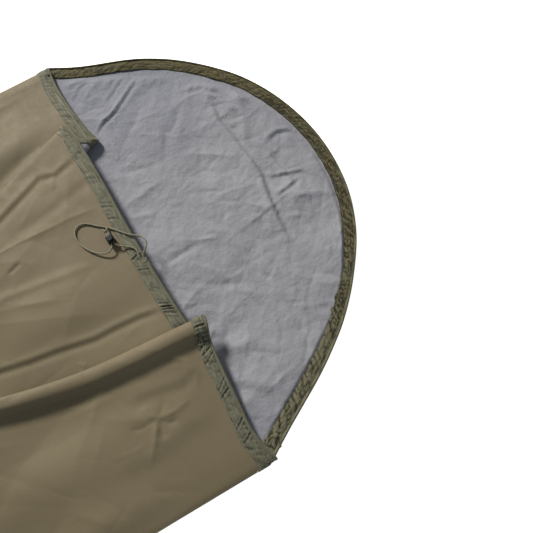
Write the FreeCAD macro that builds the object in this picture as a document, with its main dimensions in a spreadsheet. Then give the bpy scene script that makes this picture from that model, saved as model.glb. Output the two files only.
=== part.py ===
import FreeCAD, Part
import math
import os
import Sketcher
from FreeCAD import Vector, Placement, Rotation

# Bivy sack, laid out flat on its back.  +Y runs from the foot to the hood, +X is
# on the right when the hood points away, +Z is up.  The origin is in the middle
# of the ground outline.  All lengths are in millimetres.

DIMENSIONS = (
    ("half_width", 450.0, "half of the width at the mouth"),
    ("foot_half_width", 400.0, "half of the width where the foot corners start"),
    ("foot_radius", 150.0, "radius of the foot corners"),
    ("foot_end", -1150.0, "Y of the foot edge"),
    ("mouth_line", 750.0, "Y of the upper panel's free edge"),
    ("hood_end", 1150.0, "Y of the hood's crown"),
    ("crown_radius", 396.0, "radius of the hood's crown"),
    ("crown_angle", 58.0, "half angle of the crown arc, degrees"),
    ("fold_line", 785.0, "Y of the line that the hood folds on"),
    ("fold_gap", 0.6, "gap between the two panels' solids at the fold line"),
    ("shell_thick", 1.2, "laid-down thickness of the outer fabric"),
    ("lining_thick", 0.6, "laid-down thickness of the inner face"),
    ("panel_stack", 1.8, "outer fabric and inner face together"),
    ("hem_width", 25.0, "width of the drawcord hem"),
    ("hem_thick", 6.0, "thickness of the hem with its cord channel"),
    ("hem_half_length", 422.5, "half length of the mouth hem"),
    ("seam_width", 10.0, "width of the felled seam at the sides and foot"),
    ("seam_thick", 4.7, "height of the felled seam"),
    ("tape_width", 20.0, "width of the sealing tape on the seams"),
    ("tape_thick", 0.5, "thickness of the sealing tape"),
    ("tape_gap", 4.0, "gap between a seam and its sealing tape"),
    ("crown_level", 30.0, "Z of the upper panel's middle at the mouth"),
    ("cord_diameter", 3.0, "drawcord diameter"),
    ("channel_diameter", 3.8, "cord channel inside the hems"),
    ("tack_length", 18.0, "length of the corner bar tack"),
    ("tack_width", 5.0, "width of the corner bar tack"),
    ("tack_thick", 1.0, "height of the corner bar tack"),
    ("slot_length", 24.0, "length of the sewn buttonhole slot"),
    ("slot_width", 15.0, "width of the sewn buttonhole slot"),
    ("slot_near", 726.5, "Y of the slot's edge that is nearest the foot"),
    ("slot_floor", 27.0, "Z of the slot's floor, inside the hem"),
    ("stitch_border", 2.5, "width of the stitched rim of the buttonhole"),
    ("stitch_thick", 0.8, "height of the stitched rim"),
    ("lock_length", 16.0, "cord lock, along the strands"),
    ("lock_breadth", 13.0, "cord lock, across the strands"),
    ("lock_height", 12.8, "cord lock barrel height"),
    ("lock_level", 30.4, "Z of the cord lock's underside"),
    ("lock_bore", 9.6, "diameter of the plunger's bore"),
    ("lock_floor", 1.0, "thickness of the barrel's floor"),
    ("lock_rounding", 2.0, "rounding of the barrel's edges"),
    ("tunnel_breadth", 7.4, "breadth of the tunnel for two strands"),
    ("tunnel_height", 3.4, "height of the tunnel in the barrel"),
    ("strand_level", 38.9, "Z of the two strands inside the lock"),
    ("plunger_diameter", 9.0, "plunger diameter"),
    ("plunger_travel", 2.5, "how far the plunger can be pressed"),
    ("plunger_bottom", 36.1, "Z of the plunger's underside at rest"),
    ("plunger_top", 46.2, "Z of the plunger's button at rest"),
    ("plunger_web", 1.2, "thickness of the plunger under its cross slot"),
    ("spring_wire", 0.6, "wire of the cord lock's spring"),
    ("spring_radius", 3.2, "mean radius of the cord lock's spring"),
    ("knot_radius", 4.4, "size of the knot that joins the cord's ends"),
)

doc = FreeCAD.newDocument("bivy_sack")
sheet = doc.addObject("Spreadsheet::Sheet", "dimensions")
for row, (alias, value, note) in enumerate(DIMENSIONS, 1):
    sheet.set("A%d" % row, note)
    sheet.set("B%d" % row, str(value))
    sheet.setAlias("B%d" % row, alias)
doc.recompute()

sub_parts = []


def size(alias):
    """The value of one driving dimension."""
    return float(sheet.get(alias))


def bind(target, prop, expression):
    """Tie one property to an expression on the sheet's cells."""
    for alias, _, _ in DIMENSIONS:
        expression = expression.replace("{%s}" % alias, "dimensions." + alias)
    target.setExpression(prop, expression)


# ---------------------------------------------------------------- ground outline

half_width = size("half_width")
mouth_line = size("mouth_line")
crown_radius = size("crown_radius")
crown_angle = math.radians(size("crown_angle"))
foot_arc_y = size("foot_end") + size("foot_radius")
foot_arc_x = size("foot_half_width") - size("foot_radius")

# The hood is a crown arc and, on each side, a flatter shoulder arc that leaves it
# tangentially and ends at the mouth corner.
crown_centre = Vector(0, size("hood_end") - crown_radius, 0)
crown_out = Vector(math.sin(crown_angle), math.cos(crown_angle), 0)
crown_join = crown_centre + crown_out * crown_radius
corner = Vector(half_width, mouth_line, 0)
to_corner = corner - crown_join
shoulder_radius = -to_corner.dot(to_corner) / (2 * crown_out.dot(to_corner))
shoulder_centre = crown_join - crown_out * shoulder_radius


def side_x(y):
    """Half width of the body at Y: it narrows evenly towards the foot."""
    along = (mouth_line - y) / (mouth_line - foot_arc_y)
    return half_width + along * (size("foot_half_width") - half_width)


def shoulder_point(y, inset):
    """Point at Y on the right shoulder arc, moved inwards by inset."""
    rise = y - shoulder_centre.y
    reach = math.sqrt((shoulder_radius - inset) ** 2 - rise ** 2)
    return Vector(shoulder_centre.x + reach, y, 0)


def arc_between(centre, first, last):
    """Arc about a centre from one point to the other, the short way round."""
    middle = (first + last) * 0.5 - centre
    middle = centre + middle.normalize() * (first - centre).Length
    return Part.Arc(first, middle, last)


def mirror_x(point):
    return Vector(-point.x, point.y, point.z)


def shoulder_arc(first, last, side):
    """Shoulder arc between two points of the right-hand side, put on either side."""
    arc = arc_between(shoulder_centre, first, last)
    if side > 0:
        return arc
    middle = arc.value((arc.FirstParameter + arc.LastParameter) / 2)
    return Part.Arc(mirror_x(last), mirror_x(middle), mirror_x(first))


def line(first, last):
    return Part.LineSegment(first, last)


# ---------------------------------------------------------------- document helpers

def origin_plane(body, role):
    return next(feature for feature in body.Origin.OriginFeatures if feature.Role == role)


def new_body(name):
    body = doc.addObject("PartDesign::Body", name)
    body.Label = name
    sub_parts.append(body)
    return body


def closed_sketch(body, name, role, curves):
    """Sketch of a closed loop of lines and arcs on one of the body's own planes."""
    sketch = body.newObject("Sketcher::SketchObject", name)
    sketch.AttachmentSupport = (origin_plane(body, role), "")
    sketch.MapMode = "FlatFace"
    sketch.addGeometry(curves, False)
    for index in range(len(curves)):
        following = (index + 1) % len(curves)
        tip, start = nearest_ends(sketch, index, following)
        sketch.addConstraint(Sketcher.Constraint("Coincident", index, tip, following, start))
    return sketch


def nearest_ends(sketch, first, second):
    """The end of one curve and the end of the next that lie on each other."""
    pairs = [(tip, start) for tip in (1, 2) for start in (1, 2)]
    return min(pairs, key=lambda pair: (
        sketch.getPoint(first, pair[0]) - sketch.getPoint(second, pair[1])).Length)


def flat_piece(name, curves, thick, level):
    """Body padded straight up from an outline, at a level above the ground."""
    body = new_body(name)
    sketch = closed_sketch(body, name + "_outline", "XY_Plane", curves)
    pad = body.newObject("PartDesign::Pad", name + "_pad")
    pad.Profile = sketch
    bind(pad, "Length", "{%s}" % thick)
    body.Tip = pad
    bind(body, "Placement.Base.z", level)
    return body


def shaped_piece(name, shape, place=Vector()):
    """Sub-part whose shape is worked out below from the sheet's sizes."""
    feature = doc.addObject("Part::Feature", name)
    feature.Label = name
    feature.Shape = shape
    feature.Placement = Placement(place, Rotation())
    sub_parts.append(feature)
    return feature


def boolean(kind, name, base, tool):
    result = doc.addObject(kind, name)
    result.Base = base
    result.Tool = tool
    return result


def block(name, sizes, place):
    """Part::Box with its three sizes and its place bound to the sheet."""
    box = doc.addObject("Part::Box", name)
    for prop, expression in zip(("Length", "Width", "Height"), sizes):
        bind(box, prop, expression)
    for axis, expression in zip("xyz", place):
        bind(box, "Placement.Base." + axis, expression)
    return box


def post(name, radius, height, place):
    """Part::Cylinder standing along Z with its sizes and place bound to the sheet."""
    cylinder = doc.addObject("Part::Cylinder", name)
    bind(cylinder, "Radius", radius)
    bind(cylinder, "Height", height)
    for axis, expression in zip("xyz", place):
        bind(cylinder, "Placement.Base." + axis, expression)
    return cylinder


# ---------------------------------------------------------------- under panel and hood

fold_line = size("fold_line")
half_gap = size("fold_gap") / 2
body_fold_y = fold_line - half_gap
hood_fold_y = fold_line + half_gap


def body_outline():
    """Ground outline of the sack's body, from the fold line round the foot."""
    fold_right = shoulder_point(body_fold_y, 0)
    side_end = Vector(size("foot_half_width"), foot_arc_y, 0)
    foot_right = Vector(foot_arc_x, size("foot_end"), 0)
    foot_centre = Vector(foot_arc_x, foot_arc_y, 0)
    left_arc = arc_between(mirror_x(foot_centre), mirror_x(foot_right), mirror_x(side_end))
    return [
        shoulder_arc(fold_right, corner, 1),
        line(corner, side_end),
        arc_between(foot_centre, side_end, foot_right),
        line(foot_right, mirror_x(foot_right)),
        left_arc,
        line(mirror_x(side_end), mirror_x(corner)),
        shoulder_arc(fold_right, corner, -1),
        line(mirror_x(fold_right), fold_right),
    ]


def hood_arcs(inset):
    """The hood's three arcs from right to left, moved inwards by inset."""
    fold_right = shoulder_point(hood_fold_y, inset)
    join_right = crown_centre + crown_out * (crown_radius - inset)
    crown_top = crown_centre + Vector(0, crown_radius - inset, 0)
    return [
        shoulder_arc(fold_right, join_right, 1),
        Part.Arc(join_right, crown_top, mirror_x(join_right)),
        shoulder_arc(fold_right, join_right, -1),
    ]


def hood_outline():
    fold_right = shoulder_point(hood_fold_y, 0)
    return hood_arcs(0) + [line(mirror_x(fold_right), fold_right)]


flat_piece("base_shell", body_outline(), "shell_thick", "0")
flat_piece("base_lining", body_outline(), "lining_thick", "{shell_thick}")
flat_piece("hood_shell", hood_outline(), "shell_thick", "0")
flat_piece("hood_lining", hood_outline(), "lining_thick", "{shell_thick}")

# ---------------------------------------------------------------- seams and tapes

hem_start_y = mouth_line - size("hem_width")
seam_width = size("seam_width")


def side_strip(y_top, y_low, outer_inset, inner_inset, side):
    """Strip along one side of the body, between two insets from its edge."""
    loop = [
        Vector(side * (side_x(y_top) - outer_inset), y_top, 0),
        Vector(side * (side_x(y_low) - outer_inset), y_low, 0),
        Vector(side * (side_x(y_low) - inner_inset), y_low, 0),
        Vector(side * (side_x(y_top) - inner_inset), y_top, 0),
    ]
    return [line(loop[i], loop[(i + 1) % 4]) for i in range(4)]


def foot_band():
    """Band of the seam's width round both foot corners and along the foot edge."""
    centre = Vector(foot_arc_x, foot_arc_y, 0)
    outer_side = Vector(size("foot_half_width"), foot_arc_y, 0)
    inner_side = outer_side - Vector(seam_width, 0, 0)
    outer_foot = Vector(foot_arc_x, size("foot_end"), 0)
    inner_foot = outer_foot + Vector(0, seam_width, 0)
    left = mirror_x(centre)
    return [
        arc_between(centre, outer_side, outer_foot),
        line(outer_foot, mirror_x(outer_foot)),
        arc_between(left, mirror_x(outer_foot), mirror_x(outer_side)),
        line(mirror_x(outer_side), mirror_x(inner_side)),
        arc_between(left, mirror_x(inner_side), mirror_x(inner_foot)),
        line(mirror_x(inner_foot), inner_foot),
        arc_between(centre, inner_foot, inner_side),
        line(inner_side, outer_side),
    ]


tape_inset = seam_width + size("tape_gap")
for side, hand in ((-1, "left"), (1, "right")):
    seam_loop = side_strip(hem_start_y, foot_arc_y, 0, seam_width, side)
    flat_piece("side_seam_" + hand, seam_loop, "seam_thick", "{panel_stack}")
    tape_loop = side_strip(hem_start_y, foot_arc_y, tape_inset, tape_inset + size("tape_width"), side)
    flat_piece("seam_tape_" + hand, tape_loop, "tape_thick", "{panel_stack}")

flat_piece("foot_seam", foot_band(), "seam_thick", "{panel_stack}")
foot_tape_y = size("foot_end") + tape_inset
foot_tape = block(
    "seam_tape_foot",
    ("%g" % (2 * foot_arc_x), "{tape_width}", "{tape_thick}"),
    ("%g" % -foot_arc_x, "%g" % foot_tape_y, "{panel_stack}"),
)
sub_parts.append(foot_tape)

# ---------------------------------------------------------------- upper panel

# Crown line of the upper panel at the mouth, outer face: (x, z).  The ridge at
# x = 190 is the standing edge of the large pleat.
edge_level = 5.0
hem_end_level = 5.7
hem_reach = size("hem_half_length")
crown_level = size("crown_level")
MOUTH_CROWN = (
    (-hem_reach, hem_end_level), (-395, 14), (-300, 28), (-20, crown_level),
    (150, crown_level), (190, 48), (226, 27),
    (395, 14), (hem_reach, hem_end_level),
)
mouth_edge = side_x(hem_start_y) - seam_width

# Stations of the upper panel from the mouth to the foot: Y, how much of the
# mouth's height is left, and the pleat's valley x, crest x, crest z, foot x.
foot_bend = size("foot_radius") - seam_width
BODY_STATIONS = (
    (hem_start_y, 1.0, (150, 190, 48, 226)),
    (330.0, 0.97, (92, 126, 42, 172)),
    (-50.0, 0.95, (20, 60, 31, 110)),
    (foot_arc_y, 0.62, (0, 40, 30, 90)),
)


def crown_at(edge, height_share, pleat):
    """Outer face of the upper panel across one station: (x, z) from edge to edge."""
    valley_x, crest_x, crest_z, foot_x = pleat
    ridge = {150: (valley_x, crown_level), 190: (crest_x, crest_z), 226: (foot_x, 27)}
    spread = edge / mouth_edge
    crown = [(-edge, edge_level)]
    for x, z in MOUTH_CROWN:
        x, z = ridge.get(x, (x, z))
        crown.append((x * spread, hem_end_level + (z - hem_end_level) * height_share))
    crown.append((edge, edge_level))
    return crown


def station_list():
    """(Y, crown line) of every station, the last ones round the foot corners."""
    stations = []
    for y, share, pleat in BODY_STATIONS:
        stations.append((y, crown_at(side_x(y) - seam_width, share, pleat)))
    last_pleat = BODY_STATIONS[-1][2]
    for degrees, share in ((30, 0.50), (58, 0.36), (78, 0.22)):
        turn = math.radians(degrees)
        y = foot_arc_y - foot_bend * math.sin(turn)
        edge = foot_arc_x + foot_bend * math.cos(turn)
        stations.append((y, crown_at(edge, share, last_pleat)))
    return stations


def vault(depth, bottom):
    """Solid under the upper panel's face lowered by depth, down to a flat bottom."""
    wires = []
    for y, crown in station_list():
        rim = crown[-1][0] - depth
        points = [Vector(x, y, z - depth) for x, z in crown[1:-1]]
        points.insert(0, Vector(-rim, y, edge_level - depth))
        points.append(Vector(rim, y, edge_level - depth))
        points.append(Vector(rim, y, bottom))
        points.append(Vector(-rim, y, bottom))
        wires.append(Part.makePolygon(points + points[:1]))
    return Part.makeLoft(wires, True, True)


panel_stack = size("panel_stack")
outer_vault = vault(0.0, panel_stack)
middle_vault = vault(size("shell_thick"), 0.0)
inner_vault = vault(panel_stack, -1.0)
above_base = Part.makeBox(2000, 3000, 100, Vector(-1000, -1500, panel_stack))
shaped_piece("top_shell", outer_vault.cut(middle_vault))
shaped_piece("top_lining", middle_vault.cut(inner_vault).common(above_base))

# ---------------------------------------------------------------- cords

cord_diameter = size("cord_diameter")
hem_middle = panel_stack / 2


def rounded_path(points, least):
    """Straight runs joined by tangent arcs, each as large as its two runs allow."""
    edges = []
    radii = []
    tail = points[0]
    for before, here, after in zip(points, points[1:], points[2:]):
        come = (here - before).normalize()
        leave = (after - here).normalize()
        half_turn = come.getAngle(leave) / 2
        run = min((here - before).Length, (after - here).Length)
        radius = 0.45 * run / math.tan(half_turn)
        reach = radius * math.tan(half_turn)
        start = here - come * reach
        end = here + leave * reach
        inward = (leave - come).normalize()
        middle = here + inward * (radius / math.cos(half_turn) - radius)
        edges.append(line(tail, start).toShape())
        edges.append(Part.Arc(start, middle, end).toShape())
        radii.append(radius)
        tail = end
    edges.append(line(tail, points[-1]).toShape())
    if min(radii) < least:
        print("  a bend is tighter than", least)
    return Part.Wire(edges), radii


def tube(path, diameter):
    """Round tube swept along a wire."""
    first = path.OrderedEdges[0]
    start = first.valueAt(first.FirstParameter)
    along = first.tangentAt(first.FirstParameter)
    profile = Part.Wire([Part.makeCircle(diameter / 2, start, along)])
    return path.makePipeShell([profile], True, False)


def cord(name, points, least):
    """Cord along a hand-made route; prints its bends and checks its volume."""
    path, radii = rounded_path(points, least)
    solid = tube(path, cord_diameter)
    expected = path.Length * math.pi * cord_diameter ** 2 / 4
    print(name, "length %.1f" % path.Length, "volume share %.4f" % (solid.Volume / expected))
    print("  bend radii:", " ".join("%.1f" % radius for radius in radii))
    return shaped_piece(name, solid), path


def on_crown(x):
    """Middle of the hem's thickness above x on the mouth's crown line."""
    for (x0, z0), (x1, z1) in zip(MOUTH_CROWN, MOUTH_CROWN[1:]):
        if x0 <= x <= x1:
            return z0 + (z1 - z0) * (x - x0) / (x1 - x0) - hem_middle
    return hem_end_level - hem_middle


def hem_route(stops):
    """Points of a cord inside the mouth hem, given as (x, y) stops."""
    return [Vector(x, y, on_crown(x)) for x, y in stops]


channel_y = mouth_line - size("hem_width") / 2
flat_cord_z = panel_stack + size("hem_thick") / 2
hem_join_inset = size("hem_width") / 2
slot_start_x = 41.0
upper_strand_y = 735.5
lower_strand_y = 730.0


def corner_route(side):
    """Cord from the mouth hem round the mouth corner to the fold line."""
    fold_end = shoulder_point(body_fold_y, hem_join_inset)
    stops = ((433.0, 737.5), (438.5, 745.0), (434.5, 757.0), (fold_end.x, body_fold_y))
    return [Vector(side * x, y, flat_cord_z) for x, y in stops]


# The left half of the drawcord passes the buttonhole, turns back inside the hem
# and comes out beside the right half, so both ends leave the slot the same way.
left_stops = (
    (slot_start_x, upper_strand_y), (56.1, upper_strand_y), (59, 738.4), (59, 742.6), (56.1, 745.5),
    (1, 744.0), (-30, 738.5), (-60, channel_y), (-300, channel_y), (-395, channel_y),
    (-hem_reach, channel_y),
)
left_route = hem_route(left_stops) + corner_route(-1)
right_stops = (
    (slot_start_x, lower_strand_y), (66, lower_strand_y), (96, 736.0), (120, channel_y),
    (150, channel_y), (190, channel_y), (226, channel_y), (395, channel_y), (hem_reach, channel_y),
)
right_route = hem_route(right_stops) + corner_route(1)

left_path = cord("drawcord_opening_left", left_route, 3.0)[1]
right_path = cord("drawcord_opening_right", right_route, 3.0)[1]


def raised(arc, level):
    """The same arc at another level."""
    copy = arc.copy()
    copy.translate(Vector(0, 0, level))
    return copy.toShape()


hood_path = Part.Wire([raised(arc, flat_cord_z) for arc in hood_arcs(hem_join_inset)])
shaped_piece("drawcord_hood", tube(hood_path, cord_diameter))

# Free ends of the drawcord, from the buttonhole to the knot beyond the cord lock.
strand_z = size("strand_level")
short_strand_y = 701.7
long_strand_y = 698.3
LONG_END = (
    (slot_start_x, upper_strand_y, 29.1), (35.4, upper_strand_y, 29.1), (29.2, 736.5, 32.4),
    (23, 742.3, 35.8), (17, 751, 36.9), (8, 754, 37.2), (-2, 751.5, 36.8),
    (-9.5, 744.5, 36.0), (-16, 736.5, 35.0), (-24, 728.5, 33.9), (-35, 720, 32.8),
    (-46, 711.5, 31.8), (-56.5, 700.5, 31.4), (-66.5, 689, 31.5), (-76, 679.5, 31.4),
    (-83, 670, 31.5), (-84, 659.5, 31.6), (-77.5, 650.5, 31.5), (-66.5, 646.5, 31.6),
    (-53.5, 647.5, 31.5), (-40, 651.5, 31.7), (-27.5, 658.5, 32.3), (-17.5, 667, 33.5),
    (-10, 676, 35.2), (-5.5, 685.5, 37.0), (-8.5, 694.2, 38.3), (-16.5, long_strand_y, strand_z),
    (-39.5, long_strand_y, strand_z), (-45, long_strand_y, 37.4),
)
SHORT_END = (
    (slot_start_x, lower_strand_y, 29.1), (35.4, lower_strand_y, 29.1), (28, 729.8, 32.9),
    (18.5, 731.8, 35.4), (8.5, 729, 35.2), (2, 723, 34.4), (-3, 714.5, 35.0),
    (-8.5, 706.5, 37.2), (-16.5, short_strand_y, strand_z), (-39.5, short_strand_y, strand_z),
    (-45, short_strand_y, 37.4),
)
limp_bend = 3 * cord_diameter
cord("drawcord_long_end", [Vector(*stop) for stop in LONG_END], limp_bend)
cord("drawcord_short_end", [Vector(*stop) for stop in SHORT_END], limp_bend)

knot_centre = Vector(-45.0, (long_strand_y + short_strand_y) / 2, 37.4)


def end_knot():
    """Knot of both strands, as a rounded lump with two short tails."""
    lump = Part.makeSphere(size("knot_radius"), knot_centre)
    tails = []
    for lean in (-1, 1):
        start = knot_centre + Vector(-2, lean * 1.6, -0.6)
        along = Vector(-1.0, lean * 0.5, -0.6)
        tails.append(Part.makeCylinder(cord_diameter / 2, 7, start, along))
    return lump.fuse(tails)


shaped_piece("cord_end_knot", end_knot())

# ---------------------------------------------------------------- hems

channel_diameter = size("channel_diameter")


def mouth_hem():
    """Folded hem that follows the mouth's crown line, with its channel and slot."""
    upper = size("hem_thick") / 2 - hem_middle
    lower = -size("hem_thick") / 2 - hem_middle
    top = [Vector(x, hem_start_y, z + upper) for x, z in MOUTH_CROWN]
    bottom = [Vector(x, hem_start_y, z + lower) for x, z in reversed(MOUTH_CROWN)]
    face = Part.Face(Part.makePolygon(top + bottom + top[:1]))
    band = face.extrude(Vector(0, size("hem_width"), 0))
    slot_corner = Vector(slot_start_x - size("slot_length"), size("slot_near"), size("slot_floor"))
    slot = Part.makeBox(size("slot_length"), size("slot_width"), 10, slot_corner)
    channels = [tube(path, channel_diameter) for path in (left_path, right_path)]
    return band.cut(channels + [slot])


shaped_piece("opening_hem", mouth_hem())


def channel_cut(body, tool_name, path):
    """Cut of the cord channel from a padded hem piece."""
    tool = doc.addObject("Part::Feature", tool_name)
    tool.Shape = tube(path, channel_diameter)
    return boolean("Part::Cut", body.Name + "_hollow", body, tool)


def finished(label, result, raw):
    """Make a boolean result the named sub-part in place of its raw body."""
    sub_parts.remove(raw)
    raw.Label = label + "_solid"
    result.Label = label
    sub_parts.append(result)


def hem_end_outline(side):
    """Last stretch of the hood's hem on the body, round the mouth corner."""
    width = size("hem_width")
    fold_outer = shoulder_point(body_fold_y, 0)
    fold_inner = shoulder_point(body_fold_y, width)
    low_outer = Vector(side_x(hem_start_y), hem_start_y, 0)
    low_inner = low_outer - Vector(width, 0, 0)
    inner_corner = shoulder_point(mouth_line, width)
    flip = (lambda p: p) if side > 0 else mirror_x
    return [
        shoulder_arc(fold_outer, corner, side),
        line(flip(corner), flip(low_outer)),
        line(flip(low_outer), flip(low_inner)),
        line(flip(low_inner), flip(inner_corner)),
        shoulder_arc(fold_inner, inner_corner, side),
        line(flip(fold_inner), flip(fold_outer)),
    ]


def hood_hem_outline():
    outer = hood_arcs(0)
    inner = hood_arcs(size("hem_width"))
    outer_fold = shoulder_point(hood_fold_y, 0)
    inner_fold = shoulder_point(hood_fold_y, size("hem_width"))
    left_end = line(mirror_x(outer_fold), mirror_x(inner_fold))
    return outer + [left_end] + list(reversed(inner)) + [line(inner_fold, outer_fold)]


for side, hand, path in ((-1, "left", left_path), (1, "right", right_path)):
    name = "hem_end_" + hand
    raw = flat_piece(name + "_raw", hem_end_outline(side), "hem_thick", "{panel_stack}")
    finished(name, channel_cut(raw, name + "_channel", path), raw)

hood_raw = flat_piece("hood_hem_raw", hood_hem_outline(), "hem_thick", "{panel_stack}")
finished("hood_hem", channel_cut(hood_raw, "hood_hem_channel", hood_path), hood_raw)

# ---------------------------------------------------------------- tacks and buttonhole

for side, hand in ((-1, "left"), (1, "right")):
    tack_x = "{half_width} - {hem_width} + 4" if side > 0 else "-{half_width} + 3"
    tack = block(
        "corner_tack_" + hand,
        ("{tack_length}", "{tack_width}", "{tack_thick}"),
        (tack_x, "{mouth_line} - 3", "{panel_stack} + {hem_thick}"),
    )
    sub_parts.append(tack)

hem_top = "{crown_level} + ({hem_thick} - {panel_stack}) / 2"
rim_outer = block(
    "buttonhole_outer",
    ("{slot_length} + 2 * {stitch_border}", "{slot_width} + 2 * {stitch_border}", "{stitch_thick}"),
    ("%g - {slot_length} - {stitch_border}" % slot_start_x, "{slot_near} - {stitch_border}", hem_top),
)
rim_inner = block(
    "buttonhole_inner",
    ("{slot_length}", "{slot_width}", "{stitch_thick} * 3"),
    ("%g - {slot_length}" % slot_start_x, "{slot_near}", hem_top + " - {stitch_thick}"),
)
buttonhole = boolean("Part::Cut", "buttonhole_rim", rim_outer, rim_inner)
buttonhole.Label = "cord_buttonhole"
sub_parts.append(buttonhole)

# ---------------------------------------------------------------- cord lock

lock_x = -26.0
lock_y = (long_strand_y + short_strand_y) / 2
lock_place = ("%g" % lock_x, "%g" % lock_y)

shell_box = block(
    "lock_block",
    ("{lock_length}", "{lock_breadth}", "{lock_height}"),
    ("%g - {lock_length} / 2" % lock_x, "%g - {lock_breadth} / 2" % lock_y, "{lock_level}"),
)
doc.recompute()
rounded = doc.addObject("Part::Fillet", "lock_block_rounded")
rounded.Base = shell_box
rounded.Edges = [(n, size("lock_rounding"), size("lock_rounding")) for n in range(1, 13)]
bore = post("lock_bore", "{lock_bore} / 2", "{lock_height}", lock_place + ("{lock_level} + {lock_floor}",))
tunnel = block(
    "lock_tunnel",
    ("{lock_length} + 4", "{tunnel_breadth}", "{tunnel_height}"),
    (
        "%g - {lock_length} / 2 - 2" % lock_x,
        "%g - {tunnel_breadth} / 2" % lock_y,
        "{strand_level} - {tunnel_height} / 2",
    ),
)
hollow = boolean("Part::Fuse", "lock_hollow", bore, tunnel)
barrel = boolean("Part::Cut", "lock_barrel_cut", rounded, hollow)
barrel.Label = "lock_barrel"
sub_parts.append(barrel)

stem = post(
    "plunger_stem", "{plunger_diameter} / 2", "{plunger_top} - {plunger_bottom}",
    lock_place + ("{plunger_bottom}",),
)
cross_slot = block(
    "plunger_slot",
    (
        "{plunger_diameter} + 4", "{tunnel_breadth}",
        "{cord_diameter} + {plunger_travel} + 0.25",
    ),
    (
        "%g - {plunger_diameter} / 2 - 2" % lock_x,
        "%g - {tunnel_breadth} / 2" % lock_y,
        "{plunger_bottom} + {plunger_web}",
    ),
)
plunger = boolean("Part::Cut", "plunger_cut", stem, cross_slot)
plunger.Label = "lock_plunger"
sub_parts.append(plunger)


spring_low = size("lock_level") + size("lock_floor") + size("spring_wire") / 2 + 0.05
spring_high = size("plunger_bottom") - size("spring_wire") / 2 - 0.05
spring_turns = 3
runs_per_turn = 8


def lock_spring():
    """Round-wire compression spring under the plunger, standing on the origin."""
    runs = spring_turns * runs_per_turn
    stops = []
    for n in range(runs + 1):
        turn = 2 * math.pi * n / runs_per_turn
        rise = (spring_high - spring_low) * n / runs
        stops.append(Vector(math.cos(turn), math.sin(turn), 0) * size("spring_radius") + Vector(0, 0, rise))
    return tube(rounded_path(stops, 2.0)[0], size("spring_wire"))


shaped_piece("lock_spring", lock_spring(), Vector(lock_x, lock_y, spring_low))

# ---------------------------------------------------------------- check and write

doc.recompute()
for item in doc.Objects:
    if "Invalid" in item.State or "Error" in item.State:
        raise RuntimeError("%s did not recompute: %s" % (item.Name, item.State))
for item in sub_parts:
    if item.Shape.isNull() or not item.Shape.isValid():
        raise RuntimeError("%s has a bad shape" % item.Label)

os.makedirs("parts", exist_ok=True)
for item in sub_parts:
    item.Shape.exportStep("parts/%s.step" % item.Label)
    box = item.Shape.BoundBox
    print("%-24s solids %d  volume %11.1f  z %.1f..%.1f" % (
        item.Label, len(item.Shape.Solids), item.Shape.Volume, box.ZMin, box.ZMax))
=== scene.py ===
import bpy
import math
import numpy as np
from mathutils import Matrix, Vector


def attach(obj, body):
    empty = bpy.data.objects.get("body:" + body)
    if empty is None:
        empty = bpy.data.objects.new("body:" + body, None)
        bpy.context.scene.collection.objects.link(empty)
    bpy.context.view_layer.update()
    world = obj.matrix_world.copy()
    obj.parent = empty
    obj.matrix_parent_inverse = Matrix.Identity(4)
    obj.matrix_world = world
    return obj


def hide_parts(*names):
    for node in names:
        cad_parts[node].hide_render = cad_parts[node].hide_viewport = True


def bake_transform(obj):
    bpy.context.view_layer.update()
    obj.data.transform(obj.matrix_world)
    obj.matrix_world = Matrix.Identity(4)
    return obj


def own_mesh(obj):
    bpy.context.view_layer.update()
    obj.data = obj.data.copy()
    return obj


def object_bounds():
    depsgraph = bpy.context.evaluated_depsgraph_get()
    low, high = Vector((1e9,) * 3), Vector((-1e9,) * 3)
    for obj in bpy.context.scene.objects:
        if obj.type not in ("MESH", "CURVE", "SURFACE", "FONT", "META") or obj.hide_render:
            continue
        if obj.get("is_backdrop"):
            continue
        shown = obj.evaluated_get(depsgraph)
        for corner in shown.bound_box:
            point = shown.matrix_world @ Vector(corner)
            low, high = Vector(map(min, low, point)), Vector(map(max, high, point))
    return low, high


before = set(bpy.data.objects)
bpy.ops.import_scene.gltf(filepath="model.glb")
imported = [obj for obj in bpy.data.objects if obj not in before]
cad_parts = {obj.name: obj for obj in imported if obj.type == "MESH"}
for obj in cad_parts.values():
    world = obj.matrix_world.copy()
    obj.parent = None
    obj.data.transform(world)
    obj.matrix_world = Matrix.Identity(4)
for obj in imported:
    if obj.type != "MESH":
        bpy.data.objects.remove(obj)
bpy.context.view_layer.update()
scene = bpy.context.scene
MM = 0.001
LENS = 36.0
SENSOR = 36.0


def add(name, data):
    """New object in the scene."""
    obj = bpy.data.objects.new(name, data)
    scene.collection.objects.link(obj)
    return obj


# ---- camera

AZIMUTH = math.radians(58.946)
ELEVATION = math.radians(72.614)
TARGET = Vector((0.1523, 0.9205, 0.0))
DISTANCE = 0.9841

back = Vector((
    math.sin(AZIMUTH) * math.cos(ELEVATION),
    -math.cos(AZIMUTH) * math.cos(ELEVATION),
    math.sin(ELEVATION),
))
camera_data = bpy.data.cameras.new("camera")
camera_data.sensor_width = SENSOR
camera_data.lens = LENS
camera = add("camera", camera_data)
camera.location = TARGET + back * DISTANCE
camera.rotation_euler = back.to_track_quat("Z", "Y").to_euler()
scene.camera = camera
scene.view_settings.view_transform = "Standard"

# ---- cords

CORD = 0.003
HIDDEN_CORD = 0.0024
# A curve's box is grown by its points' radius, so the radius is small and the bevel makes up for it.
POINT_RADIUS = 0.004


def route(*points):
    """Control points of a cord, given in millimetres."""
    return tuple(tuple(round(c * MM, 7) for c in point) for point in points)


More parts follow.
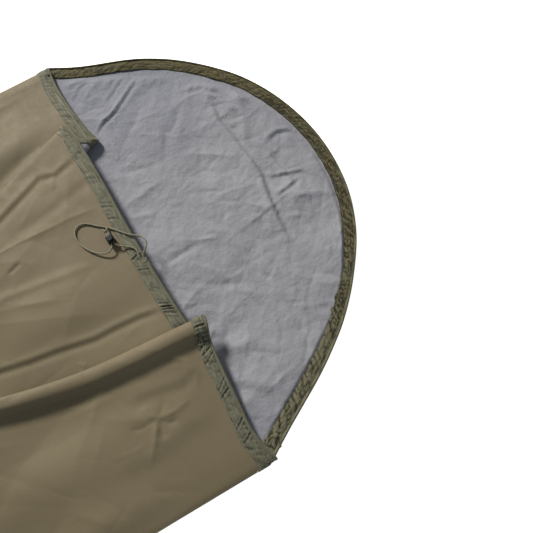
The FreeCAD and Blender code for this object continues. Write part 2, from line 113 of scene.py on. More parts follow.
LONG_END = route(
    (41, 735.5, 29.1), (35.4, 735.5, 29.1), (29.2, 736.5, 32.4), (23, 742.3, 35.8), (17, 751, 36.9),
    (8, 754, 37.2), (-2, 751.5, 36.8), (-9.5, 744.5, 36), (-16, 736.5, 35), (-24, 728.5, 33.9),
    (-35, 720, 32.8), (-46, 711.5, 31.8), (-56.5, 700.5, 31.4), (-66.5, 689, 31.5), (-76, 679.5, 31.4),
    (-83, 670, 31.5), (-84, 659.5, 31.6), (-77.5, 650.5, 31.5), (-66.5, 646.5, 31.6),
    (-53.5, 647.5, 31.5), (-40, 651.5, 31.7), (-27.5, 658.5, 32.3), (-17.5, 667, 33.5),
    (-10, 676, 35.2), (-5.5, 685.5, 37), (-8.5, 694.2, 38.3), (-16.5, 698.3, 38.9),
    (-39.5, 698.3, 38.9), (-45, 698.3, 37.4),
)
SHORT_END = route(
    (41, 730, 29.1), (35.4, 730, 29.1), (28, 729.8, 32.9), (18.5, 731.8, 35.4), (8.5, 729, 35.2),
    (2, 723, 34.4), (-3, 714.5, 35), (-8.5, 706.5, 37.2), (-16.5, 701.7, 38.9), (-39.5, 701.7, 38.9),
    (-45, 701.7, 37.4),
)
KNOT_TURNS = route(
    (-42.5, 700, 38.8), (-43, 703.4, 39.4), (-45.8, 703, 34.6), (-45.2, 697.2, 34.2),
    (-43.4, 696.6, 38.4), (-44.6, 700, 40.6), (-47.4, 702.8, 38.8), (-48.2, 701, 35.4),
    (-47.4, 697.8, 36.4), (-50, 696.6, 35.4), (-52.5, 695.6, 33.5),
)
KNOT_TAIL = route(
    (-45, 699.5, 37.4), (-47.4, 701.6, 36.8), (-50, 703.2, 35.4), (-52.5, 704.4, 33.5),
)
MOUTH_CORD_LEFT = route(
    (41, 735.5, 29.1), (50, 736, 29.1), (54, 738.5, 29.1), (50, 740, 29.1), (0, 736, 29),
    (-60, 734, 29), (-160, 732, 29), (-235, 728, 28.8), (-275, 712, 28.5), (-285, 705, 26.2),
    (-275, 712, 24), (-238, 750, 23.2), (-234, 752, 21.5), (-240, 753, 19.6), (-330, 746, 17.5),
    (-385, 740.5, 12.5), (-425, 738.5, 8.5), (-436, 745, 5.2), (-437.5, 756, 4.5), (-434, 780, 4.5),
)
MOUTH_CORD_RIGHT = route(
    (41, 730, 29.1), (60, 731, 29), (100, 735.5, 28.8), (160, 736, 28), (206, 740, 27.2),
    (218, 745.5, 29.2), (206, 752, 31.8), (188, 759, 37.5), (185, 762, 41.5), (196, 762, 45.5),
    (208, 756, 40), (222, 750, 30), (288, 744, 25), (345, 738.5, 20), (425, 736, 9.5), (436, 745, 5.2),
    (437.5, 756, 4.5), (434, 780, 4.5),
)
HOOD_CORD = route(
    (419, 786, 4.5), (404, 812, 4.5), (376, 864, 4.5), (340, 927, 4.5), (295, 988, 4.5),
    (235, 1047, 4.5), (162, 1096, 4.5), (85, 1127, 4.5), (0, 1137.5, 4.5), (-90, 1130, 4.5),
    (-180, 1103, 4.5), (-256, 1054, 4.5), (-315, 988, 4.5), (-360, 915, 4.5), (-386, 860, 4.5),
    (-400, 820, 4.5), (-416, 786, 4.5),
)


def cord_curve(name, places, body, thick=CORD):
    """Smooth round cord with its control points at the given places."""
    data = bpy.data.curves.new(name, "CURVE")
    data.dimensions = "3D"
    data.bevel_depth = thick / 2 / POINT_RADIUS
    data.bevel_resolution = 5
    data.resolution_u = 8
    data.use_fill_caps = True
    spline = data.splines.new("NURBS")
    spline.points.add(len(places) - 1)
    for point, place in zip(spline.points, places):
        point.co = (*place, 1.0)
        point.radius = POINT_RADIUS
    spline.order_u = 3
    spline.use_endpoint_u = True
    obj = add(name, data)
    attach(obj, body)
    return obj


long_strand = cord_curve("cord_long_strand", LONG_END, "sack")
short_strand = cord_curve("cord_short_strand", SHORT_END, "sack")
knot_turns = cord_curve("knot_turns", KNOT_TURNS, "sack")
knot_tail = cord_curve("knot_tail", KNOT_TAIL, "sack")
mouth_cord_left = cord_curve("mouth_cord_left", MOUTH_CORD_LEFT, "sack", HIDDEN_CORD)
mouth_cord_right = cord_curve("mouth_cord_right", MOUTH_CORD_RIGHT, "sack", HIDDEN_CORD)
hood_cord = cord_curve("hood_cord", HOOD_CORD, "hood", HIDDEN_CORD)

# ---- numbers and noise


def smooth(t):
    """0 below 0, 1 above 1, easing between."""
    t = np.clip(t, 0.0, 1.0)
    return t * t * (3 - 2 * t)


def waves(x, y, length, seed, count=26):
    """Random swell of about one unit with waves of about the given length."""
    rng = np.random.default_rng(seed)
    total = np.zeros_like(x)
    for _ in range(count):
        heading, phase = rng.uniform(0, 2 * np.pi, 2)
        pitch = 2 * np.pi / (length * rng.uniform(0.7, 1.6))
        total += np.sin(pitch * (x * np.cos(heading) + y * np.sin(heading)) + phase)
    return total / math.sqrt(count / 2)


def swell(s, length, seed):
    """Random swell along a line."""
    return waves(s, 0 * s, length, seed)


def creases(x, y, seed, count, box, reach, width, height, heading=0.0, spread=math.pi / 2):
    """Many short pinched creases with flat slopes beside them, scattered over a box."""
    rng = np.random.default_rng(seed)
    rise = np.zeros_like(x)
    (low_x, high_x), (low_y, high_y) = box
    for _ in range(count):
        cx, cy = rng.uniform(low_x, high_x), rng.uniform(low_y, high_y)
        turn = heading + rng.uniform(-spread, spread)
        long, wide = rng.uniform(*reach), rng.uniform(*width)
        tall = rng.uniform(*height) * rng.choice((-1.0, 1.0))
        bend = rng.uniform(-0.22, 0.22)
        where = np.nonzero((np.abs(x - cx) < long + 4 * wide) & (np.abs(y - cy) < long + 4 * wide))
        dx, dy = x[where] - cx, y[where] - cy
        along = (dx * math.cos(turn) + dy * math.sin(turn)) / long
        gap = dy * math.cos(turn) - dx * math.sin(turn) + bend * long * along ** 2
        ends = np.clip(1 - along ** 2, 0, 1) ** 2
        rise[where] += tall * ends * np.exp(-np.sqrt(gap ** 2 + 0.5) / wide)
    return rise


def to_line(x, y, line):
    """Signed distance to a line of (x, y) points, and how far along it, 0 to 1."""
    line = np.asarray(line, float)
    lengths = np.hypot(*(line[1:] - line[:-1]).T)
    total = lengths.sum()
    best = np.full(x.shape, 1e9)
    side = np.zeros_like(x)
    along = np.zeros_like(x)
    done = 0.0
    for (ax, ay), (bx, by), run in zip(line[:-1], line[1:], lengths):
        ux, uy = (bx - ax) / run, (by - ay) / run
        t = np.clip((x - ax) * ux + (y - ay) * uy, 0, run)
        gap = np.hypot(x - ax - t * ux, y - ay - t * uy)
        near = gap < best
        best = np.where(near, gap, best)
        side = np.where(near, np.sign(ux * (y - ay) - uy * (x - ax)), side)
        along = np.where(near, (done + t) / total, along)
        done += run
    return best * side, along


def crease(x, y, line, width, fade):
    """Distance from a line in widths, and a factor that fades out at its ends."""
    gap, along = to_line(x, y, line)
    return gap / width, smooth(along / fade) * smooth((1 - along) / fade)


def ridge(x, y, line, width, height, fade=0.3, sharp=False):
    """A raised fold, or with a negative height a valley, along a line."""
    near, ends = crease(x, y, line, width, fade)
    return height * ends * np.exp(-np.abs(near) if sharp else -near ** 2)


def pinch(x, y, line, width, height, fade=0.3):
    """A fold whose left side is raised and whose right side dips."""
    near, ends = crease(x, y, line, width, fade)
    return height * ends * 1.65 * near * np.exp(-near ** 2)


# ---- mesh helpers


def mesh_object(name, points, faces, uvs=None):
    """Smooth-shaded mesh, with one UV for each point."""
    data = bpy.data.meshes.new(name)
    data.from_pydata(points.tolist(), [], faces.tolist())
    if uvs is not None:
        layer = data.uv_layers.new(name="UVMap")
        layer.data.foreach_set("uv", uvs[faces.ravel()].ravel())
    data.shade_smooth()
    return add(name, data)


def grid_faces(rows, columns, ring=False):
    """Quads of a grid of points; ring joins the last column to the first."""
    row, column = np.meshgrid(np.arange(rows - 1), np.arange(columns - 1 + ring), indexing="ij")
    a = row * columns + column
    b = row * columns + (column + 1) % columns
    return np.stack([a, b, b + columns, a + columns], -1).reshape(-1, 4)


def grid_object(name, grid, uvs, ring=False, flip=False):
    """Mesh of a grid of points; flip turns its faces over."""
    faces = grid_faces(grid.shape[0], grid.shape[1], ring)
    if flip:
        faces = faces[:, ::-1]
    return mesh_object(name, grid.reshape(-1, 3), faces, uvs.reshape(-1, 2))


def unit(v):
    """Vectors scaled to length 1."""
    return v / np.maximum(np.linalg.norm(v, axis=-1, keepdims=True), 1e-9)


def arc_lengths(points):
    """Distance along a line at each of its points."""
    steps = np.linalg.norm(np.diff(points, axis=0), axis=1)
    return np.concatenate([[0.0], np.cumsum(steps)])


# ---- outline, in millimetres

MOUTH_Y = 750.0
HALF = 450.0
CROWN_RADIUS = 396.0
CROWN_ANGLE = math.radians(58.0)
FOOT_Y = -1150.0
FOOT_ARC_Y = -1000.0
FOOT_ARC_X = 250.0
FOOT_RADIUS = 150.0
FOOT_TAPER = 50.0
HEM = 25.0
TOP_Y = 1150.0
FLIP_X = np.array([-1.0, 1.0])
crown_centre = np.array([0.0, TOP_Y - CROWN_RADIUS])
crown_out = np.array([math.sin(CROWN_ANGLE), math.cos(CROWN_ANGLE)])
crown_join = crown_centre + crown_out * CROWN_RADIUS
to_corner = np.array([HALF, MOUTH_Y]) - crown_join
shoulder_radius = -(to_corner @ to_corner) / (2 * crown_out @ to_corner)
shoulder_centre = crown_join - crown_out * shoulder_radius


def side_x(y):
    """Half width between mouth and foot, where the sack tapers."""
    return HALF - FOOT_TAPER * (MOUTH_Y - y) / (MOUTH_Y - FOOT_ARC_Y)


def arc_x(radius, up):
    """Half width of a circle at a height over its centre."""
    return np.sqrt(np.maximum(radius ** 2 - up ** 2, 0))


def hood_x(y, inset):
    """Half width of the hood at y, moved inwards by inset."""
    shoulder = shoulder_centre[0] + arc_x(shoulder_radius - inset, y - shoulder_centre[1])
    crown = arc_x(CROWN_RADIUS - inset, y - crown_centre[1])
    join_y = crown_centre[1] + crown_out[1] * (CROWN_RADIUS - inset)
    return np.where(y < join_y, shoulder, crown)


def ground_x(y, inset):
    """Half width of the whole ground outline at y, moved inwards by inset."""
    body = side_x(y) - inset
    foot = FOOT_ARC_X + arc_x(FOOT_RADIUS - inset, y - FOOT_ARC_Y)
    return np.where(y > MOUTH_Y, hood_x(y, inset), np.where(y < FOOT_ARC_Y, foot, body))


def hood_gap(x, y):
    """Distance in from the ground outline, square to it."""
    turn = np.arctan2(np.abs(x), y - crown_centre[1])
    crown = CROWN_RADIUS - np.hypot(x, y - crown_centre[1])
    shoulder = shoulder_radius - np.hypot(np.abs(x) - shoulder_centre[0], y - shoulder_centre[1])
    side = ground_x(y, 0) - np.abs(x)
    return np.where(y < MOUTH_Y, side, np.where(turn < CROWN_ANGLE, crown, shoulder))


# How far the hood's edge lies outside its cut outline, going round from the right corner.
EDGE_WANDER = (
    (0, 0), (50, -5), (100, -6), (180, -4.5), (240, -7), (310, -10.5), (380, -10.5), (450, -6),
    (540, -2), (640, 0), (740, 2), (820, 4), (880, 7), (930, 5.5), (1000, 9.5), (1060, 14),
    (1110, 11.5), (1160, 4.5), (1205, -2), (1250, -2.5), (1287, 3),
)


def wander(run):
    """Distance of the hood's edge outside its cut outline."""
    marks, offsets = np.array(EDGE_WANDER, float).T
    soft = sum(np.interp(run + d, marks, offsets) for d in (-24, -12, 0, 12, 24))
    return soft / 5


def arc(centre, radius, low, high, count):
    """Points of an arc and their directions outwards."""
    turn = np.linspace(low, high, count)
    out = np.stack([np.cos(turn), np.sin(turn)], 1)
    return centre + out * radius, out


EDGE_SPACING = 2.6


def hood_edge():
    """Points and inward directions along the hood's edge, from the right corner to the left."""
    low = math.atan2(MOUTH_Y - shoulder_centre[1], HALF - shoulder_centre[0])
    high = math.pi / 2 - CROWN_ANGLE
    n = int(shoulder_radius * abs(high - low) / EDGE_SPACING)
    right, out = arc(shoulder_centre, shoulder_radius, low, high, n)
    m = int(CROWN_RADIUS * 2 * CROWN_ANGLE / EDGE_SPACING)
    crown, crown_dir = arc(crown_centre, CROWN_RADIUS, high, math.pi - high, m)
    points = np.concatenate([right, crown[1:-1], (right * FLIP_X)[::-1]])
    inward = -np.concatenate([out, crown_dir[1:-1], (out * FLIP_X)[::-1]])
    return points, inward


# ---- upper panel

# Rails of the upper panel at the mouth: x, y past the mouth line, z.
MOUTH_RAILS = (
    (-449, 2, 5.4), (-445, 3, 8.4), (-431, 3, 10.8), (-415, 1, 10.5), (-385, 0, 12.5), (-331, 3, 14.5),
    (-269, 11, 12.5), (-246, 17.5, 12), (-237, 18.5, 16), (-240, 12, 21.5), (-258, -20, 24.3),
    (-284, -28, 24.8), (-294, -26, 27), (-288, -23.5, 29), (-274, -20.5, 29.3), (-247, -15.5, 29.4),
    (-217, -13.5, 29.4), (-123, -12, 29.4), (-42, -13, 29.3), (32, -12, 29.3), (107, -9, 29),
    (165, -6, 28.5), (208, 0, 27.5), (220, 8, 29.5), (208, 14, 32), (194, 20, 35.5), (185, 24, 38.5),
    (182, 26, 41.5), (187, 26.5, 45), (196, 25, 47), (206, 22, 44.5), (214, 18.5, 35),
    (224, 15.5, 29.5), (240, 13, 28.2), (282, 9, 25.5), (335, 5, 21), (383, 1.5, 16.5), (423, 6.5, 12),
    (441, 12, 9.2), (448, 13, 6.4),
)
# The same rails further down the sack: Y, then the x and the z of each rail.
SECTIONS = (
    (560.0,
     (-444.5, -441, -429, -414, -384, -325, -235, -162, -152, -160, -192, -221, -227, -221, -206, -190,
      -165, -105, -40, 25, 85, 140, 176, 188, 179, 170, 165, 162, 167, 176, 185, 195, 205, 226, 275, 330,
      378, 418, 438, 444.5),
     (4.5, 7.4, 9.6, 9.5, 13, 16.5, 17, 18, 20, 21.5, 22.5, 23.5, 25.5, 27.5, 28.2, 28.8, 29.4, 30, 29,
      28.3, 27.8, 27.2, 26.5, 28, 31, 34.5, 38.5, 42.5, 46, 47.5, 45, 36, 28.4, 26.5, 24.8, 20.5, 16, 10,
      7, 4.5)),
    (330.0,
     (-438, -434, -423, -409, -380, -315, -238, -190, -176, -166, -158, -151, -145, -140, -134, -126,
      -112, -76, -36, 8, 48, 82, 102, 108, 107, 106, 107, 109, 113, 121, 128, 135, 143, 172, 245, 310,
      368, 412, 432, 438),
     (4.5, 7.2, 9.4, 9.5, 12.5, 17, 18, 19.5, 20.7, 21.8, 22.8, 23.8, 24.8, 25.8, 26.8, 27.8, 28.8, 29.5,
      29.3, 28.2, 27.4, 26.3, 26, 28, 31.5, 35.5, 40, 43, 45.5, 46.5, 44.5, 36.5, 27, 25, 24, 20, 15.5,
      9.8, 6.8, 4.5)),
    (-50.0,
     (-425, -421, -411, -397, -368, -312, -255, -215, -200, -185, -172, -158, -146, -134, -122, -108, -92,
      -70, -48, -28, -10, 6, 18, 26, 32, 38, 43, 48, 55, 64, 71, 79, 90, 130, 215, 285, 345, 395, 418,
      425),
     (4.5, 6.8, 9, 9.5, 12, 17, 21, 22.5, 23, 23.5, 24, 24.3, 24.6, 24.8, 25, 25.2, 25.3, 25.3, 25.2, 25,
      24.8, 24.8, 25.2, 26.5, 28.5, 31, 33.5, 36, 38, 39, 37.5, 32.5, 27, 24.5, 23.5, 20, 15.5, 10, 6.8,
      4.5)),
    (FOOT_ARC_Y,
     (-397.5, -394, -384, -371, -345, -296, -243, -206, -190, -176, -163, -150, -138, -126, -114, -101,
      -86, -66, -45, -26, -8, 8, 20, 28, 34, 40, 46, 52, 59, 68, 79, 98, 124, 158, 218, 282, 335, 376,
      392, 397.5),
     (4.3, 6.2, 8, 8.6, 10.5, 13.5, 15.5, 16.2, 16.4, 16.5, 16.6, 16.7, 16.8, 16.8, 16.8, 16.8, 16.8,
      16.7, 16.5, 16.4, 16.3, 16.4, 16.6, 16.9, 17.2, 17.5, 17.8, 18, 18.2, 18.4, 18.2, 17.5, 16.8, 16.2,
      15.2, 13.2, 10.8, 8, 6, 4.3)),
)


def between(t, t1, t2, a, b):
    """From a at t1 to b at t2."""
    return (t2 - t) / (t2 - t1) * a + (t - t1) / (t2 - t1) * b


def spline_through(points, counts):
    """Centripetal spline through points, sampled counts[i] times in span i."""
    padded = np.concatenate([[2 * points[0] - points[1]], points, [2 * points[-1] - points[-2]]])
    out = []
    for i, count in enumerate(counts):
        p0, p1, p2, p3 = padded[i:i + 4]
        t1 = np.linalg.norm(p1 - p0) ** 0.5
        t2 = t1 + np.linalg.norm(p2 - p1) ** 0.5
        t3 = t2 + np.linalg.norm(p3 - p2) ** 0.5
        t = (t1 + (t2 - t1) * np.arange(count) / count)[:, None]
        middle = between(t, t1, t2, p1, p2)
        before = between(t, 0, t2, between(t, 0, t1, p0, p1), middle)
        after = between(t, t1, t3, middle, between(t, t2, t3, p2, p3))
        out.append(between(t, t1, t2, before, after))
    return np.concatenate(out + [points[-1:]])


COLUMN_PITCH = 2.7
mouth_rails = np.array(MOUTH_RAILS) + np.array([0.0, MOUTH_Y, 0.0])
rail_runs = np.diff(arc_lengths(mouth_rails))
rail_counts = np.maximum(3, np.ceil(rail_runs / COLUMN_PITCH)).astype(int)
stations = np.stack([spline_through(rails, rail_counts) for rails in (
    mouth_rails, *(np.stack([xs, np.full(len(xs), y), zs], 1) for y, xs, zs in SECTIONS)
)])


def down_the_sack(rows):
    """Grid of the panel: rows are (span, share of the span), columns follow the stations."""
    y = stations[:, :, 1]
    runs = np.diff(y, axis=0)[:, :, None]
    slopes = np.diff(stations, axis=0) / runs
    tangents = np.empty_like(stations)
    tangents[0], tangents[-1] = slopes[0], slopes[-1]
    tangents[1:-1] = (slopes[:-1] * runs[1:] + slopes[1:] * runs[:-1]) / (runs[1:] + runs[:-1])
    grid = []
    for k, t in rows:
        run = runs[k]
        a, b = stations[k], stations[k + 1]
        grid.append(
            (2 * t ** 3 - 3 * t ** 2 + 1) * a + (t ** 3 - 2 * t ** 2 + t) * run * tangents[k]
            + (3 * t ** 2 - 2 * t ** 3) * b + (t ** 3 - t ** 2) * run * tangents[k + 1]
        )
    return np.stack(grid)


# The hem's width at some rails: it is narrower where it is tucked into the first pleat.
HEM_WIDTHS = (
    (0, 1), (6, 1), (8, 0.85), (9, 0.5), (11, 0.45), (13, 0.5), (14, 0.72), (15, 1), (36, 1), (38, 1.2),
    (39, 1.28),
)
HEM_ROWS = 10
# Rows of the panel's mesh in each span between stations.
SPAN_ROWS = (58, 78, 68, 118)
rail_at = np.concatenate([[0], np.cumsum(rail_counts)])
column = np.arange(stations.shape[1])
hem_factor = np.interp(column, [rail_at[rail] for rail, _ in HEM_WIDTHS], [share for _, share in HEM_WIDTHS])
hem_width = HEM * np.convolve(np.pad(hem_factor, 3, mode="edge"), np.ones(7) / 7, "valid")
hem_share = (hem_width / (stations[0, :, 1] - stations[1, :, 1]))[:, None]
rows = [(0, hem_share * j / HEM_ROWS) for j in range(HEM_ROWS + 1)]
rows += [(0, hem_share + (1 - hem_share) * j / SPAN_ROWS[0]) for j in range(1, SPAN_ROWS[0])]
rows += [(k, j / SPAN_ROWS[k]) for k in (1, 2, 3) for j in range(SPAN_ROWS[k])]
rows.append((3, 1.0))
panel = down_the_sack(rows)

# Rounded foot: the last row again and again, narrower and lower.
FOOT_ROWS = 30
PANEL_INSET = 2.5
PANEL_EDGE_Z = 4.3
t = np.sin(np.arange(1, FOOT_ROWS + 1) / FOOT_ROWS * math.pi / 2)[:, None]
x, _, z = panel[-1].T
y = FOOT_ARC_Y - (FOOT_RADIUS - 2.0) * t
foot_x = x * ((ground_x(y, 0) - PANEL_INSET) / x[-1])
foot_z = PANEL_EDGE_Z + (z - PANEL_EDGE_Z) * np.sqrt(1 - t * t)
panel = np.concatenate([panel, np.stack([foot_x, y + 0 * x, foot_z], -1)])


# Creases of the upper panel: kind, line of (x, y past the mouth), width, height, fade, sharp.
MOUTH_FOLDS = (
    (ridge, ((-159, 16), (-153, -44), (-140, -101), (-131, -164), (-115, -230)), 12, -2),
    (pinch, ((-222, -20), (-214, -48), (-203, -84), (-214, -112), (-201, -140), (-184, -180),
     (-173, -207), (-150, -290)), 9, -2.3, 0.2),
    (ridge, ((-203, -84), (-190, -96), (-172, -98)), 5, 1.4),
    (ridge, ((-97, -30), (-106, -91), (-107, -132), (-111, -199), (-109, -233),
     (-100, -320)), 7, 2.3, 0.15, True),
    (ridge, ((-75, -205), (-68, -222), (-62, -238)), 4, -1.6),
    (ridge, ((-296, -30), (-269, -107), (-235, -183), (-205, -260)), 5, 1.5, 0.2, True),
    (ridge, ((15, -30), (-1, -86), (-16, -176), (-28, -266), (-36, -340)), 9, 2.2),
    (pinch, ((25, -40), (8, -100), (-6, -180), (-16, -270)), 24, 1.2),
    (pinch, ((134, -22), (124, -70), (120, -114), (119, -153), (105, -217), (97, -267), (86, -315),
     (66, -420)), 8, -2.3, 0.1),
    (ridge, ((140, -200), (150, -190), (160, -197), (174, -191)), 3.5, 1.1),
    (ridge, ((205, -66), (232, -38), (262, -32), (287, -48)), 6, 2.2, 0.3, True),
    (ridge, ((80, -20), (72, -100), (60, -200), (44, -300)), 26, 1.6),
    (pinch, ((-420, -30), (-400, -120), (-385, -220), (-370, -360)), 22, -2.4),
    (ridge, ((-330, -40), (-310, -120), (-280, -210), (-240, -330)), 20, 2.4),
    (ridge, ((-290, -70), (-270, -130), (-245, -200), (-215, -290)), 12, -2.6),
)
# Centre of the star crumple, what its creases bend towards, their ends and heights, and folds beside it.
STAR_CENTRE = (292, -122)
STAR_BEND = (302, -130)
STAR_CREASES = (
    ((260, -136), 1.9), ((313, -92), -2), ((284, -176), -1.7), ((333, -149), 2.1),
    ((290, -56), 1.5), ((330, -126), -1.8), ((356, -170), 1.6), ((268, -96), -1.4),
)
STAR_FOLDS = (
    (pinch, ((252, -10), (262, -60), (250, -120), (244, -170)), 14, -1.6),
    (ridge, ((330, -25), (322, -80), (334, -150), (330, -230)), 16, 1.8),
)


def folds(x, v, lines):
    """Sum of the listed creases."""
    return sum(shape(x, v, line, *numbers) for shape, line, *numbers in lines)


def panel_folds(x, y):
    """Height that wrinkles add to the upper panel; the same for stacked layers."""
    v = y - MOUTH_Y
    rise = folds(x, v, MOUTH_FOLDS)
    for end, height in STAR_CREASES:
        middle = [(bend + out) / 2 for bend, out in zip(STAR_BEND, end)]
        rise += ridge(x, v, (STAR_CENTRE, middle, end), 5, height, 0.3, True)
    rise += folds(x, v, STAR_FOLDS)
    down = smooth((-v - 40) / 320)
    rise += (1.1 + 2.2 * down) * waves(x * 1.35, y * 0.55, 210, 11)
    whole = ((-440, 440), (-1890, -20))
    for near, seed, *numbers in (
        (0.5, 22, 90, whole, (110, 320), (18, 45), (1.5, 4.2), math.pi / 2, 0.5),
        (0.65, 23, 160, whole, (50, 150), (8, 20), (0.8, 2.2), math.pi / 2, 1.2),
        (0.9, 24, 300, whole, (22, 70), (4, 8), (0.35, 0.95)),
    ):
        rise += (near + (1 - near) * down) * creases(x, v, seed, *numbers)
    edge = ground_x(y, 0) - np.abs(x)
    rise *= smooth((edge - 4) / 60)
    calm = np.exp(-(((x + 26) / 85) ** 2 + ((v + 48) / 75) ** 4))
    rise = rise * (1 - 0.92 * calm) - 0.25 * calm
    rise *= 0.25 + 0.75 * smooth(-v / 45)
    return rise * smooth((y - FOOT_Y) / 120)


# The upper panel stays above the ground sheets, and its inner face lies under it.
LOWEST_PANEL = 4.8
LINING_GAP = 0.9
panel[:, :, 2] += panel_folds(panel[:, :, 0], panel[:, :, 1])
panel[:, :, 2] = np.maximum(panel[:, :, 2], LOWEST_PANEL)
panel_normal = unit(np.cross(np.gradient(panel, axis=0), np.gradient(panel, axis=1)))
UV_COLUMN = 200
across = arc_lengths(panel[0])
panel_uv = np.stack(np.meshgrid(across * MM, arc_lengths(panel[:, UV_COLUMN]) * MM), -1)
upper_panel = grid_object("upper_panel", panel * MM, panel_uv, flip=True)
lining_grid = panel - LINING_GAP * panel_normal
lining_grid[:, :, 2] = np.maximum(lining_grid[:, :, 2], LOWEST_PANEL - LINING_GAP)
upper_lining = grid_object("upper_lining", lining_grid * MM, panel_uv)

# ---- hems

# Distance between a band's rows.
BAND_SPACING = 1.3


class Band:
    """A sewn band: distance along it, distance in from its outer edge, height."""

    def __init__(self, base, normal, widths):
        run = arc_lengths(base[:, 0])
        self.s = np.linspace(0, run[-1], int(run[-1] / BAND_SPACING))
        self.base, normal = (
            np.stack([np.interp(self.s, run, c) for c in table.reshape(len(run), -1).T], 1)
            .reshape(len(self.s), -1, 3) for table in (base, normal)
        )
        self.normal = unit(normal)
        self.widths = widths

    def at(self, index, w, h):
        """Points at row numbers index, w in from the edge and h above the middle."""
        w = np.broadcast_to(w, index.shape)
        k = np.clip(np.searchsorted(self.widths, w, side="right") - 1, 0, len(self.widths) - 2)
        share = ((w - self.widths[k]) / (self.widths[k + 1] - self.widths[k]))[..., None]
        low = np.clip(np.floor(index).astype(int), 0, len(self.s) - 2)
        part = (index - low)[..., None]

        def pick(table):
            first = table[low, k] * (1 - share) + table[low, k + 1] * share
            second = table[low + 1, k] * (1 - share) + table[low + 1, k + 1] * share
            return first * (1 - part) + second * part

        return pick(self.base) + unit(pick(self.normal)) * np.asarray(h)[..., None]


def band_object(name, band, profile, gather, dark=None):
    """Closed band with the (w, h) profile; gather gives extra height at s and w, and dark extra painted
    shade.
    """
    w, h = np.array(profile, float).T
    index = np.arange(len(band.s), dtype=float)[:, None] + np.zeros(len(w))
    s = band.s[:, None] + np.zeros(len(w))
    wide = np.zeros_like(s) + w
    lift = gather(s, wide)
    high = h + np.where(h > 0, 1.0, -0.45) * lift
    drift = 0.5 * swell(s, 34, 77) * smooth((wide - 12) / 12)
    grid = band.at(index, wide + drift, high)
    uvs = np.stack([s * MM, wide * MM], -1)
    obj = grid_object(name, grid * MM, uvs, ring=True)
    # Painted shade, kept as an attribute: it rises where the tape dips lower than the rows beside it and
    # where it lies low.
    shade = obj.data.attributes.new("painted_hollow_shade", "FLOAT", "POINT")
    near = 0.5 * (np.roll(lift, 3, 0) + np.roll(lift, -3, 0))
    depth = 0.5 + 0.9 * (near - lift) - 0.25 * lift
    if dark is not None:
        depth = depth + 0.5 * dark(s, wide)
    shade.data.foreach_set("value", np.clip(depth, 0, 1).ravel())
    return obj


def thread_object(name, threads, radius, taper):
    """Six-sided threads, thinner at both ends, each given by its middle line and two directions."""
    points, faces, first = [], [], 0
    for middle, beside, up in threads:
        reach = np.full((len(middle), 1), radius)
        reach[[0, -1]] *= taper
        turns = np.arange(6) * math.pi / 3
        rings = [middle + reach * (math.cos(turn) * beside + math.sin(turn) * up) for turn in turns]
        points.append(np.stack(rings, 1).reshape(-1, 3))
        faces.append(grid_faces(len(middle), 6, True) + first)
        first += len(points[-1])
    return mesh_object(name, np.concatenate(points) * MM, np.concatenate(faces))


STITCH_PITCH = 4.2
STITCH_RUN = 2.9
STITCH_RADIUS = 0.34
STITCH_TAPER = 0.55


def stitches(band, height, rows, skip=None):
    """Stitches in rows on a band, sunk in at their ends."""
    rng = np.random.default_rng(5)
    step = band.s[1] - band.s[0]
    for w in rows:
        starts = np.arange(2.0, band.s[-1] - 4.0, STITCH_PITCH)
        starts = starts + rng.uniform(-0.25, 0.25, len(starts))
        side = w + rng.uniform(-0.18, 0.18, len(starts))
        for begin, place in zip(starts, side):
            s = begin + STITCH_RUN * np.array([0.0, 0.18, 0.5, 0.82, 1.0])
            row = np.full(5, place)
            lift = height(s, row) + np.array([-0.35, 0.0, 0.14, 0.0, -0.35])
            middle = band.at(s / step, row, lift)
            if skip is None or not skip(middle[2]):
                ahead = unit(np.gradient(middle, axis=0))
                up = unit(band.at(s / step, row, lift + 1.0) - middle)
                yield middle, np.cross(ahead, up), up


def rail_run(rail):
    """Distance along the mouth at a rail number, which may fall between two rails."""
    return float(np.interp(rail, np.arange(len(rail_at)), across[rail_at]))


# mouth hem, on the first rows of the panel
hem_widths = np.concatenate([[-HEM / HEM_ROWS], np.arange(HEM_ROWS + 1) * HEM / HEM_ROWS])
hem_base = panel[:HEM_ROWS + 1].transpose(1, 0, 2)
hem_normal = panel_normal[:HEM_ROWS + 1].transpose(1, 0, 2)
hem_base = np.concatenate([2 * hem_base[:, :1] - hem_base[:, 1:2], hem_base], 1)
hem_normal = np.concatenate([hem_normal[:, :1], hem_normal], 1)
mouth_band = Band(hem_base, hem_normal, hem_widths)
MOUTH_PROFILE = (
    (-1.3, -0.2), (-1, 1), (0.2, 1.9), (1.8, 2.1), (2.7, 1.7), (3.4, 0.5), (4.3, 1), (6.5, 1.7), (9, 2),
    (12.5, 2.5), (16, 2.1), (19.5, 1.8), (21.6, 1.3), (23.2, 1.5), (24.6, 1.1), (25, 0.3), (24.6, -1.4),
    (20, -1.9), (12.5, -2.4), (6, -2), (1, -2), (-0.8, -1.3),
)


def top_of(profile, lowest, gather):
    """Height of a band's upper side at s and w."""
    outer = np.array([(w, h) for w, h in profile if h > lowest]).T
    return lambda s, w: np.interp(w, *outer) + gather(s, w)


def gathers(s, w, seed, size, pull):
    """Small diagonal gathers that come and go along a hem."""
    mood = smooth(0.5 + 0.45 * swell(s, 95, seed))
    slanted = s + pull * w
    fine = waves(slanted, 0.35 * w, 7.5, seed + 1)
    broad = waves(slanted, 0.35 * w, 17, seed + 2)
    inside = smooth((w - 3.2) / 3.0) * smooth((25.0 - w) / 3.0)
    return size * inside * (0.35 + mood) * (0.55 * fine + 0.75 * broad)


